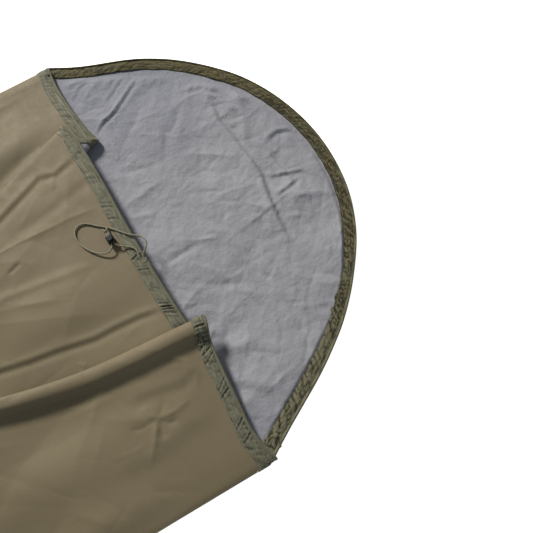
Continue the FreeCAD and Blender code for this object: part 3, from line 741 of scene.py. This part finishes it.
# Deep puckers where the hem is bunched: rail number, depth, slant.
PUCKERS = (
    (20.38, 1.8, 0.5), (20.5, 3.4, 0.35), (20.58, 3.2, 0.35), (20.72, 1.9, 0.6), (29.3, 2, 0.1),
    (32.2, 1.6, -0.5), (30.4, 2.4, 0.1), (31.2, 2, -0.2), (31.8, 2.6, 0.15), (30.9, 1.6, 0.5),
    (32.9, 1.9, -0.4), (33.25, 1.5, -0.7), (34.3, 1.3, -0.8), (34.6, 1.6, -0.5), (35.7, 1.4, -0.7),
    (36.3, 1.1, -0.6), (19.3, 1.2, 0.4), (18.9, 1.4, -0.3), (16.6, 0.9, 0.8), (17.3, 0.9, 0.7),
)


def puckers(s, w):
    """Height of the deep puckers."""
    lift = np.zeros_like(s)
    for rail, depth, slant in PUCKERS:
        gap = s - rail_run(rail) + slant * (w - 12.5)
        lift += depth * (0.45 * np.exp(-((np.abs(gap) - 3.2) / 1.7) ** 2) - np.exp(-(gap / 1.5) ** 2))
    return lift * smooth((w - 3.0) / 3.5) * smooth((24.5 - w) / 5)


def mouth_gather(s, w):
    """Height that gathers and puckers add to the mouth hem."""
    return gathers(s, w, 41, 0.3, 0.8) + puckers(s, w)


mouth_hem = band_object("mouth_hem", mouth_band, MOUTH_PROFILE, mouth_gather)

# hood hem, round the hood and down past both mouth corners
edge_points, edge_inward = hood_edge()
tail = np.arange(24, 0, -3.0)
right_tail = np.stack([side_x(MOUTH_Y - tail), MOUTH_Y - tail], 1)
tail_in = np.tile([-1.0, 0.0], (len(tail), 1))
arc_run = arc_lengths(edge_points)
edge_turn = np.arctan2(edge_points[:, 1] - crown_centre[1], edge_points[:, 0])
edge_reach = np.hypot(edge_points[:, 1] - crown_centre[1], edge_points[:, 0])
edge_points = edge_points - edge_inward * wander(arc_run)[:, None]


def with_wander(x, y):
    """Ground points moved as the hood's edge wanders, less and less towards its middle."""
    turn = np.arctan2(y - crown_centre[1], x)
    reach = np.hypot(x, y - crown_centre[1])
    share = reach / np.interp(turn, edge_turn, edge_reach)
    push = wander(np.interp(turn, edge_turn, arc_run)) * smooth((share - 0.55) / 0.4)
    push = push * smooth((y - MOUTH_Y + 25) / 50)
    return x + push * np.cos(turn), y + push * np.sin(turn)


edge_points = np.concatenate([right_tail, edge_points, (right_tail * FLIP_X)[::-1]])
edge_inward = np.concatenate([tail_in, edge_inward, (tail_in * FLIP_X)[::-1]])
for _ in range(6):
    edge_inward[1:-1] = unit(edge_inward[:-2] + edge_inward[1:-1] + edge_inward[2:])
hood_widths = np.linspace(-2.5, 27.5, 13)
hood_run = arc_lengths(edge_points)
hood_broad = 1.0 + 0.16 * smooth((420 - hood_run) / 120)
hood_base = edge_points[:, None] + edge_inward[:, None] * (hood_broad[:, None] * hood_widths)[..., None]
corner_fall = smooth(hood_run / 60.0) * smooth((hood_run[-1] - hood_run) / 60.0)
hood_level = 3.3 - 0.9 * (1 - corner_fall) + 0.5 * swell(hood_run, 120, 91) * corner_fall
hood_base = np.dstack([hood_base, np.broadcast_to(hood_level[:, None], hood_base.shape[:2])])
hood_normal = np.zeros_like(hood_base) + np.array([0.0, 0.0, 1.0])
hood_band = Band(hood_base, hood_normal, hood_widths)
HOOD_PROFILE = (
    (-0.2, -0.6), (-0.5, 1.8), (0.3, 3.8), (1.6, 4.5), (2.9, 4), (3.7, 2.2), (4.6, 2), (6.2, 2.7),
    (9, 3.3), (12.5, 3.7), (16, 3.2), (19, 2.5), (21.4, 1.7), (23.2, 1.7), (24.6, 1.2), (25.2, 0.2),
    (24.6, -1), (20, -2.2), (12, -2.6), (5, -2.5), (1, -2),
)


def hood_twist_shade(s, w):
    """Painted shade on the hood hem, 0 to 1: where the cord twists the hem, its pleats run aslant and its
    inner half lies in their shade.
    """
    pulled = smooth((s - 270) / 60) * smooth((900 - s) / 90)
    pleats = smooth(0.35 + 0.9 * waves(s - 2.4 * w, 0.1 * w, 24, 68))
    rolled = smooth((w - 12 - 2.5 * swell(s, 80, 67)) / 5)
    return pulled * (0.55 * pleats + 0.75 * rolled)


def hood_gather(s, w):
    """Height that slanted pleats add to the hood hem."""
    return gathers(s, w, 61, 0.42, -2.4) + gathers(s, w, 64, 0.36, -0.9)


hood_hem = band_object("hood_edge_hem", hood_band, HOOD_PROFILE, hood_gather, hood_twist_shade)


def in_slot(point):
    """True inside the buttonhole, where the hem has no stitches."""
    return 22 < point[0] < 40 and 727 < point[1] < 741


mouth_stitches = stitches(mouth_band, top_of(MOUTH_PROFILE, 0, mouth_gather), (4.3, 22.3), in_slot)
hood_stitches = stitches(hood_band, top_of(HOOD_PROFILE, 0.5, hood_gather), (5.0, 22.2))
mouth_stitching = thread_object("mouth_stitching", mouth_stitches, STITCH_RADIUS, STITCH_TAPER)
hood_stitching = thread_object("hood_stitching", hood_stitches, STITCH_RADIUS, STITCH_TAPER)

# ---- sheets on the ground

SHEET_COLUMNS = 321
SHEET_INSET = 6.0
HOOD_INSET = 13.0


def ground_rows():
    """Y of each row of the ground sheets, close together in the hood and at both ends."""
    low = FOOT_Y + 8 + 14 * (1 - np.cos(np.linspace(0, math.pi / 2, 12)))
    body = np.arange(FOOT_Y + 24, 690, 11.0)
    hood = np.arange(690, 1125, 2.9)
    top = 1137.0 - 12.5 * (1 - np.sin(np.linspace(0, math.pi / 2, 10)))
    return np.concatenate([low, body, hood, top])


# Creases of the inner face in the hood, in the same form.
LINING_FOLDS = (
    (pinch, ((-248, 5), (-253, 18), (-270, 42), (-282, 77), (-297, 98), (-316, 126),
     (-339, 163)), 4.5, 3.4),
    (ridge, ((-253, 18), (-270, 42), (-282, 77), (-297, 98), (-316, 126), (-339, 163)), 26, 3),
    (pinch, ((-300, 62), (-314, 74), (-346, 122), (-355, 145)), 4, 2),
    (pinch, ((-345, 8), (-355, 20), (-369, 38), (-376, 64)), 4, 1.9),
    (pinch, ((-226, 258), (-160, 247), (-126, 253), (-75, 256), (-14, 259), (29, 248), (77, 240),
     (129, 236), (172, 244)), 8, -4.2, 0.15),
    (ridge, ((-160, 240), (-75, 246), (-14, 246), (77, 228), (172, 232)), 24, 2.6),
    (pinch, ((-14, 259), (2, 273), (10, 293), (21, 326), (35, 344)), 6, 3.2),
    (pinch, ((43, 256), (38, 292), (30, 320)), 6, 2.6),
    (pinch, ((-198, 385), (-147, 378), (-99, 372)), 6, -2.8),
    (pinch, ((-66, 292), (-76, 328), (-68, 353), (-45, 372)), 7, 2.6),
    (ridge, ((53, 0), (55, 22), (53, 46), (54, 70), (50, 98)), 6, -2.2),
    (pinch, ((-240, 250), (-226, 256), (-207, 274), (-180, 282), (-156, 291), (-141, 289)), 7, -3.2),
    (pinch, ((-257, 206), (-250, 235), (-242, 253), (-226, 256)), 8, 2.2),
    (pinch, ((-60, 300), (-20, 296), (20, 304), (60, 298)), 7, -2.8),
    (ridge, ((60, 40), (120, 90), (180, 120), (240, 130)), 10, 1.8, 0.3, True),
    (ridge, ((230, 10), (262, 70), (300, 120), (352, 150)), 13, 2),
    (pinch, ((298, -20), (318, 30), (352, 64), (392, 74)), 12, 2.2),
    (pinch, ((190, 200), (230, 190), (270, 205), (300, 235)), 10, -2.2),
    (pinch, ((120, 160), (170, 150), (215, 160), (250, 190)), 13, 1.8),
)


def lining_folds(x, y):
    """Height that wrinkles add to the inner face."""
    v = y - MOUTH_Y
    rise = folds(x, v, LINING_FOLDS)
    inside = smooth((v + 60) / 60)
    rise += 1.5 * inside * waves(x, y, 190, 101)
    hood = ((-440, 440), (-60, 395))
    for seed, count, *sizes in (
        (112, 80, (60, 150), (9, 22), (1.5, 3.6)), (113, 260, (24, 75), (4.5, 9), (1.0, 2.3)),
        (114, 700, (9, 30), (2.6, 4.8), (0.5, 1.1)),
    ):
        rise += inside * creases(x, v, seed, count, hood, *sizes)
    return rise * smooth((hood_gap(x, y) - 12) / 20) * smooth((v + 200) / 150)


ys = ground_rows()
margin = SHEET_INSET + (HOOD_INSET - SHEET_INSET) * smooth((ys - 700) / 60)
gx = np.linspace(-1, 1, SHEET_COLUMNS) * ground_x(ys, margin)[:, None]
gy = ys[:, None] + 0 * gx
fold = lining_folds(gx, gy)
hidden = 0.35 * waves(gx, gy, 160, 151)
# Folds rise from the hem's inner edge, which is broader on the right.
free = smooth((hood_gap(gx, gy) - np.where(gx > 0, 29.0, 25.0)) / np.where(gx > 0, 8.0, 20.0))
loft = -1.0 + 5.2 * smooth((gy - MOUTH_Y + 15) / 60)
soft_low = 2.5 + free * 1.3 * np.log1p(np.exp((fold + loft) / 1.3)) + np.where(gy < 600, hidden, 0.0)
gx, gy = with_wander(gx, gy)
inner_grid = np.stack([gx, gy, soft_low], -1)
inner_uv = np.stack([gx * MM, gy * MM], -1)
inner_sheet = grid_object("inner_sheet", inner_grid * MM, inner_uv)
under_grid = np.stack([gx * 1.002, gy, np.maximum(soft_low - 1.5, 0.4)], -1)
under_sheet = grid_object("under_sheet", under_grid * MM, inner_uv, flip=True)

# ---- seams and their tapes

SEAM_PROFILE = (
    (0, 1.9), (0.1, 3.3), (0.9, 4.4), (2.1, 4.7), (3.4, 4.2), (6, 3.4), (9.6, 3), (10.2, 1.7), (6, 0.6),
    (1.4, 0.5),
)


def swept(name, line, inward, profile, pucker):
    """Closed strip along a ground line; profile gives (distance inwards, z)."""
    w, z = np.array(profile, float).T
    run = arc_lengths(line)
    wave = pucker * swell(run, 14, 201)[:, None] * np.where(z > 2.5, 1.0, 0.1)
    place = line[:, None] + inward[:, None] * w[None, :, None]
    grid = np.concatenate([place, (z + wave)[..., None]], 2)
    uvs = np.stack([run[:, None] * MM + 0 * w, w * MM + 0 * run[:, None]], -1)
    return grid_object(name, grid * MM, uvs, ring=True)


SEAM_SPACING = 3.0


def side_line(sign):
    """Ground line of a side seam, and the directions inwards."""
    y = np.arange(MOUTH_Y - HEM, FOOT_ARC_Y, -SEAM_SPACING)
    return np.stack([sign * side_x(y), y], 1), np.tile([-sign * 1.0, 0.0], (len(y), 1))


def foot_line():
    """Ground line of the foot seam from right to left, and the directions inwards."""
    right, out = arc((FOOT_ARC_X, FOOT_ARC_Y), FOOT_RADIUS, 0, -math.pi / 2, 80)
    x = np.arange(FOOT_ARC_X - SEAM_SPACING, -FOOT_ARC_X, -SEAM_SPACING)
    flat = np.stack([x, np.full(len(x), FOOT_Y)], 1)
    line = np.concatenate([right, flat, (right * FLIP_X)[::-1]])
    inward = -np.concatenate([out, np.tile([0.0, -1.0], (len(x), 1)), (out * FLIP_X)[::-1]])
    return line, inward


TAPE_PROFILE = ((14, 2.5), (14, 3), (24, 3.1), (34, 3), (34, 2.5), (24, 2.45))
seams = {}
left_line = [part[::-1] for part in side_line(-1)]
for hand, (line, inward) in (("left", left_line), ("right", side_line(1)), ("foot", foot_line())):
    seams[hand] = swept("seam_" + hand, line, inward, SEAM_PROFILE, 0.18)
    seams[hand + "_tape"] = swept("sealing_tape_" + hand, line, inward, TAPE_PROFILE, 0.0)

# ---- tacks, buttonhole


def bars(starts, ends, bow):
    """Short bowed threads from each start to each end."""
    share = np.linspace(0, 1, 7)
    for a, b in zip(starts, ends):
        middle = a + (b - a) * share[:, None]
        middle[:, 2] += bow * np.sin(np.pi * share)
        ahead = unit(np.gradient(middle, axis=0))
        beside = unit(np.cross(ahead, [0.0, 0.0, 1.0]))
        yield middle, beside, np.cross(beside, ahead)


def on_panel(x, y):
    """Height of the upper panel's edge under each point."""
    near = panel[:HEM_ROWS + 1].reshape(-1, 3)
    gap = np.hypot(near[:, 0] - x[:, None], near[:, 1] - y)
    return near[gap.argmin(1), 2]


BAR_TAPER = 0.6
TACK_THREADS = 30
tacks = {}
for hand, sign in (("left", -1), ("right", 1)):
    x = sign * (427.5 + 17.0 * np.arange(TACK_THREADS) / TACK_THREADS)
    z = on_panel(x, 748.0) + 3.0 - 0.5
    low = np.stack([x, np.full(TACK_THREADS, 745.4), z], 1)
    high = np.stack([x + sign * 0.5, np.full(TACK_THREADS, 750.6), z], 1)
    tacks[hand] = thread_object("bar_tack_" + hand, bars(low, high, 0.7), 0.375, BAR_TAPER)

# The buttonhole's stitches stand round an oval and point away from its middle.
BUTTONHOLE = (31.0, 733.2)
BUTTONHOLE_HALF = (9.0, 5.2)
STITCH_LENGTH = 2.3
turn = np.linspace(0, 2 * math.pi, 72, endpoint=False)
circle = np.stack([np.cos(turn), np.sin(turn)], 1)
ring = np.sign(circle) * np.abs(circle) ** 0.6 * BUTTONHOLE_HALF
outer_ring = ring * (1.0 + STITCH_LENGTH / np.linalg.norm(ring, axis=1, keepdims=True))
starts, ends = (
    np.column_stack([oval + BUTTONHOLE, np.full(len(oval), z)])
    for oval, z in ((ring, 31.5), (outer_ring, 31.3))
)
buttonhole = thread_object("buttonhole_stitching", bars(starts, ends, 0.6), 0.35, BAR_TAPER)

# ---- materials

# A wave texture's scale for a period of one metre.
WAVE_PERIOD = 0.314


def node(tree, kind, sockets=(), **values):
    """New node; values are properties or inputs by name, and sockets are pairs of an input and its value."""
    made = tree.nodes.new(kind)
    for key, value in values.items():
        if hasattr(made, key):
            setattr(made, key, value)
        else:
            sockets = (*sockets, (key.replace("_", " "), value))
    for place, value in sockets:
        socket = made.inputs[place]
        if isinstance(value, bpy.types.NodeSocket):
            tree.links.new(value, socket)
        else:
            socket.default_value = (*value, 1) if socket.type == "RGBA" else value
    return made


def tone(colour, share):
    """A colour made darker, or lighter with a share over 1."""
    return tuple(share * c for c in colour)


def mix_colour(tree, factor, first, second):
    """First colour where factor is 0, second where it is 1; each may be a colour or a socket."""
    sockets = ((0, factor), (6, first), (7, second))
    return node(tree, "ShaderNodeMix", sockets, data_type="RGBA").outputs[2]


def ramp(tree, value, low, high):
    """0 at low to 1 at high; high may be the smaller number."""
    return node(tree, "ShaderNodeMapRange", Value=value, From_Min=low, From_Max=high).outputs[0]


def noise(tree, vector, scale, detail=4.0, rough=0.55):
    made = node(tree, "ShaderNodeTexNoise", Vector=vector, Scale=scale, Detail=detail, Roughness=rough)
    return made.outputs["Fac"]


def combine(tree, operation, first, second):
    """Math node on a socket and another socket or a number."""
    return node(tree, "ShaderNodeMath", ((0, first), (1, second)), operation=operation).outputs[0]


def weave(tree, vector, period):
    """Plain weave: crossing rows of threads of the given period in metres."""
    warp, weft = (
        node(tree, "ShaderNodeTexWave", bands_direction=direction, Vector=vector, Scale=WAVE_PERIOD / period,
             Distortion=0.6, Detail=1.0).outputs["Fac"]
        for direction in ("X", "Y")
    )
    return combine(tree, "MULTIPLY", warp, weft)


def bump(tree, height, strength, distance, *before):
    """Normals of a height in metres, on top of the normals before."""
    sockets = [("Normal", normal) for normal in before]
    made = node(tree, "ShaderNodeBump", sockets, Height=height, Strength=strength, Distance=distance)
    return made.outputs["Normal"]


def material(name, colour, rough, sheen=0.0, metallic=0.0, specular=0.5, coat=0.0):
    """New material with its tree and shader."""
    made = bpy.data.materials.new(name)
    made.use_nodes = True
    shader = made.node_tree.nodes["Principled BSDF"]
    for key, value in (
        ("Base Color", (*colour, 1)), ("Roughness", rough), ("Metallic", metallic), ("Sheen Roughness", 0.5),
        ("Specular IOR Level", specular), ("Sheen Weight", sheen), ("Coat Weight", coat),
    ):
        shader.inputs[key].default_value = value
    return made, made.node_tree, shader


def object_space(tree):
    """Coordinates that stay with a piece as it moves."""
    return node(tree, "ShaderNodeTexCoord").outputs["Object"]


def finish(tree, shader, colour, gloss, roughness, normal):
    """Link a colour, a roughness that gloss moves between two values, and a normal."""
    low, high = roughness
    polish = node(tree, "ShaderNodeMapRange", Value=gloss, To_Min=low, To_Max=high).outputs[0]
    for value, key in ((colour, "Base Color"), (polish, "Roughness"), (normal, "Normal")):
        tree.links.new(value, shader.inputs[key])


def painted_light_pool(tree, where, broad, spot):
    """Broad mottling with a painted pool of light: paler near a spot, given as x, y, z and reach, and darker
    away from it.
    """
    *middle, reach = spot
    around = node(tree, "ShaderNodeMapping", vector_type="TEXTURE", Vector=where, Location=middle,
                  Scale=(reach, reach, reach)).outputs[0]
    near = node(tree, "ShaderNodeTexGradient", gradient_type="SPHERICAL", Vector=around).outputs["Fac"]
    mix = node(tree, "ShaderNodeMix", ((0, 0.72), (2, broad), (3, ramp(tree, near, 0.05, 0.6))))
    return ramp(tree, mix.outputs[0], 0.1, 0.9)


def gathered(tree, shade, colour, edges, strokes, end):
    """Colour of a gathered tape, with painted shade in its dips and painted shade and highlights in slanted
    strokes: end is its colour at the start of the band, edges at its outer edge.
    """
    angle, threshold = strokes
    uv = node(tree, "ShaderNodeUVMap", uv_map="UVMap").outputs["UV"]
    split = node(tree, "ShaderNodeSeparateXYZ", Vector=uv)
    slant = node(tree, "ShaderNodeMapping", Vector=uv, Rotation=(0, 0, angle), Scale=(0.15, 1, 1)).outputs[0]
    if end is not None:
        shade = mix_colour(tree, ramp(tree, split.outputs["X"], 0.95, 0.05), shade, end)
    painted_hollow_shade = node(tree, "ShaderNodeAttribute", attribute_name="painted_hollow_shade").outputs["Fac"]
    # Slanted strokes: the dark ones are painted shade and the light ones painted highlights of the tape's
    # small puckers.
    streak = noise(tree, slant, 330.0, 4.0, 0.55)
    # Painted shade: the tape darkens where its shade attribute is high.
    shade = mix_colour(tree, ramp(tree, painted_hollow_shade, 0.50, 1.0), shade, tone(colour, 0.22))
    shade = mix_colour(tree, ramp(tree, streak, threshold, threshold - 0.16), shade, tone(colour, 0.28))
    shade = mix_colour(tree, ramp(tree, streak, 0.52, 0.78), shade, tone(colour, 1.4))
    return mix_colour(tree, ramp(tree, split.outputs["Y"], 0.0026, 0.0014), shade, edges)


def fabric(name, colour, dark, light, rough, sheen, period, crinkle, mottling, specular=0.35,
           lit_spot=None, edges=None, strokes=None, end=None, crumple=0.0):
    """Woven cloth: thread weave, crinkles and mottled colour, with an optional spot that gives a painted pool
    of light.
    """
    made, tree, shader = material(name, colour, rough, sheen=sheen, specular=specular)
    where = object_space(tree)
    broad = ramp(tree, noise(tree, where, 5.0, 3.0), 0.35, 0.65)
    small = ramp(tree, noise(tree, where, 55.0, 5.0, 0.65), 0.3, 0.7)
    threads = weave(tree, where, period)
    if lit_spot is not None:
        broad = painted_light_pool(tree, where, broad, lit_spot)
    paint = mix_colour(tree, broad, dark, light)
    paint = mix_colour(tree, ramp(tree, small, -0.2 / mottling, 1 + 0.9 / mottling), paint, colour)
    grain = ramp(tree, noise(tree, where, 420.0, 3.0, 0.7), 0.30, 0.95)
    paint = mix_colour(tree, grain, paint, tone(colour, 1.22))
    shade = mix_colour(tree, ramp(tree, threads, -1.6, 1.0), tone(colour, 0.55), paint)
    if edges is not None:
        shade = gathered(tree, shade, colour, edges, strokes, end)
    surface = bump(tree, threads, 0.35, 0.00018)
    surface = bump(tree, noise(tree, where, 130.0, 6.0, 0.6), crinkle, 0.0016, surface)
    if crumple > 0:
        facets = combine(tree, "PINGPONG", noise(tree, where, 13.0), 0.11)
        surface = bump(tree, facets, crumple, 0.03, surface)
    finish(tree, shader, shade, small, (rough - 0.07, rough + 0.09), surface)
    return made


def plastic(name, colour, rough, coat):
    """Moulded plastic with a fine grain."""
    made, tree, shader = material(name, colour, rough, specular=0.22, coat=coat)
    where = object_space(tree)
    grain = noise(tree, where, 900.0)
    paint = mix_colour(tree, grain, tone(colour, 0.75), tone(colour, 1.4))
    finish(tree, shader, paint, noise(tree, where, 260.0), (rough - 0.08, rough + 0.14),
           bump(tree, grain, 0.12, 0.0001))
    return made


def braid(name, dark, light):
    """Braided cord or twisted thread: light strands over darker gaps."""
    made, tree, shader = material(name, light, 0.55, sheen=0.25, specular=0.4)
    where = object_space(tree)
    strands = node(tree, "ShaderNodeTexVoronoi", Vector=where, Scale=1100.0).outputs["Distance"]
    cells = ramp(tree, strands, 0.1, 0.75)
    paint = mix_colour(tree, cells, light, dark)
    finish(tree, shader, paint, cells, (0.45, 0.7), bump(tree, cells, 0.5, 0.0003))
    return made


def metal(name, colour, rough):
    """Bare metal with fine scratches."""
    made, tree, shader = material(name, colour, rough, metallic=1.0)
    where = object_space(tree)
    scratches = noise(tree, where, 1500.0, 5.0)
    paint = mix_colour(tree, scratches, tone(colour, 0.7), colour)
    finish(tree, shader, paint, scratches, (rough - 0.08, rough + 0.15), bump(tree, scratches, 0.1, 0.00005))
    return made


shell_cloth = fabric("shell_cloth", (0.15, 0.12, 0.07), (0.132, 0.105, 0.06), (0.17, 0.137, 0.083),
                     0.62, 0.03, 0.0009, 0.1, 0.4, specular=0.16)
# The lining's mottling is partly painted light: paler round a spot in the hood, and its bluish dark colour,
# away from the spot, is painted shade.
lining_cloth = fabric("lining_cloth", (0.208, 0.208, 0.226), (0.124, 0.134, 0.172), (0.27, 0.261, 0.264),
                      0.74, 0.05, 0.001, 0.6, 0.5, specular=0.18, lit_spot=(0.12, 0.93, 0, 0.52),
                      crumple=0.3)
mouth_tape = fabric("mouth_tape", (0.116, 0.11, 0.072), (0.088, 0.084, 0.052), (0.146, 0.139, 0.096),
                    0.72, 0.06, 0.0012, 0.6, 1, specular=0.2, edges=(0.096, 0.09, 0.056),
                    strokes=(-0.3, 0.465))
hood_tape = fabric("hood_tape", (0.08, 0.067, 0.025), (0.05, 0.042, 0.016), (0.118, 0.1, 0.04),
                   0.72, 0.04, 0.0012, 0.7, 1.2, specular=0.16, edges=(0.086, 0.075, 0.034),
                   strokes=(0.22, 0.52), end=(0.118, 0.112, 0.074))
seam_cloth = fabric("seam_cloth", (0.215, 0.175, 0.11), (0.18, 0.146, 0.09), (0.25, 0.205, 0.132),
                    0.55, 0.05, 0.0009, 0.12, 0.6)
film = fabric("sealing_film", (0.23, 0.228, 0.236), (0.21, 0.208, 0.216), (0.25, 0.247, 0.255),
              0.35, 0, 0.001, 0.1, 0.5, specular=0.5)
thread = braid("thread_twist", (0.06, 0.056, 0.03), (0.15, 0.14, 0.086))
cord_braid = braid("cord_braid", (0.075, 0.07, 0.036), (0.205, 0.19, 0.115))
black_plastic = plastic("black_plastic", (0.005, 0.005, 0.006), 0.38, 0)
# The button's grey, lighter than the barrel's black, is partly its own plastic and partly a painted highlight
# on its top.
button_plastic = plastic("button_plastic", (0.022, 0.023, 0.026), 0.3, 0.2)
spring_steel = metal("spring_steel", (0.55, 0.55, 0.57), 0.28)


def dress(obj, paint):
    """Give a piece one material."""
    obj.data.materials.clear()
    obj.data.materials.append(paint)


for obj in (long_strand, short_strand, knot_turns, knot_tail, mouth_cord_left, mouth_cord_right, hood_cord):
    dress(obj, cord_braid)
joined = [
    (seams[side + end], paint, slot) for side in ("left", "right", "foot")
    for end, paint, slot in (("", seam_cloth, "seam_fabric"), ("_tape", film, "sealing_tape"))
]
stitched = [(obj, thread, "thread") for obj in (mouth_stitching, hood_stitching, *tacks.values(), buttonhole)]
for obj, paint, slot in (
    (upper_panel, shell_cloth, "shell"), (under_sheet, shell_cloth, "shell"),
    (upper_lining, lining_cloth, "lining"), (inner_sheet, lining_cloth, "lining"),
    (mouth_hem, mouth_tape, "mouth_tape"), (hood_hem, hood_tape, "hood_tape"), *joined, *stitched,
):
    dress(obj, paint)
for name, paint in (
    ("lock_barrel", black_plastic), ("lock_plunger", button_plastic), ("lock_spring", spring_steel),
):
    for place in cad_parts[name].material_slots:
        place.material = paint

# The lock's spring shortens by the button's stroke, which the solid coil can't; the coil is only copied into
# a piece of its own on the lock's body.
solid_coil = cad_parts["lock_spring"]
coil = add("lock_coil_spring", solid_coil.data.copy())
coil.matrix_world = solid_coil.matrix_world.copy()

# ---- bodies and hidden parts

sack_pieces = (upper_panel, upper_lining, mouth_hem, mouth_stitching, buttonhole)
for obj in (*sack_pieces, *seams.values(), *tacks.values()):
    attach(obj, "sack")
for obj in (inner_sheet, under_sheet, hood_hem, hood_stitching):
    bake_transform(obj)

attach(coil, "cord_lock")
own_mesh(coil)

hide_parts("lock_spring")
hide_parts("top_shell")
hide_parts("top_lining")
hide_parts("base_lining", "hood_lining")
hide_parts("base_shell", "hood_shell")
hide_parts("opening_hem")
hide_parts("hood_hem", "hem_end_left", "hem_end_right")
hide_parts("drawcord_long_end")
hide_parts("drawcord_short_end")
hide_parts("cord_end_knot")
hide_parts("drawcord_opening_left")
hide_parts("drawcord_opening_right")
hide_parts("drawcord_hood")
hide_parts("cord_buttonhole")
for hand in ("left", "right"):
    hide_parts("side_seam_" + hand)
    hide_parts("seam_tape_" + hand)
    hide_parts("corner_tack_" + hand)
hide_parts("foot_seam")
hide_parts("seam_tape_foot")

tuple(LONG_END[0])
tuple(SHORT_END[0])

# ---- floor and light

FLOOR = 20.0
floor_mesh = bpy.data.meshes.new("floor")
corners = [(x * FLOOR, y * FLOOR, 0) for x, y in ((-1, -1), (1, -1), (1, 1), (-1, 1))]
floor_mesh.from_pydata(corners, [], [(0, 1, 2, 3)])
floor = add("floor", floor_mesh)
floor_paint, _, floor_shader = material("floor_paint", (0.93, 0.93, 0.93), 0.9, specular=0.1)
floor_shader.inputs["Emission Color"].default_value = (1, 1, 1, 1)
floor_shader.inputs["Emission Strength"].default_value = 0.8
floor_mesh.materials.append(floor_paint)
floor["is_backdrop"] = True
LIT_POINT = Vector((0.0, 0.6, 0.0))


def area_light(name, place, size, power, colour):
    """Round lamp that shines at the middle of the mouth."""
    data = bpy.data.lights.new(name, "AREA")
    data.shape = "DISK"
    data.size = size
    data.energy = power
    data.color = colour
    lamp = add(name, data)
    lamp.location = place
    lamp.rotation_euler = (Vector(place) - LIT_POINT).to_track_quat("Z", "Y").to_euler()


area_light("key", (-6.9, -0.5, 4.9), 2.0, 1290.0, (1.0, 0.975, 0.935))
area_light("fill", (3.0, 3.2, 5.0), 4.0, 60.0, (0.80, 0.90, 1.0))
world = bpy.data.worlds.new("world")
scene.world = world
world.use_nodes = True
sky = world.node_tree.nodes["Background"]
sky.inputs["Color"].default_value = (0.86, 0.93, 1, 1)
sky.inputs["Strength"].default_value = 0.24

low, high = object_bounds()
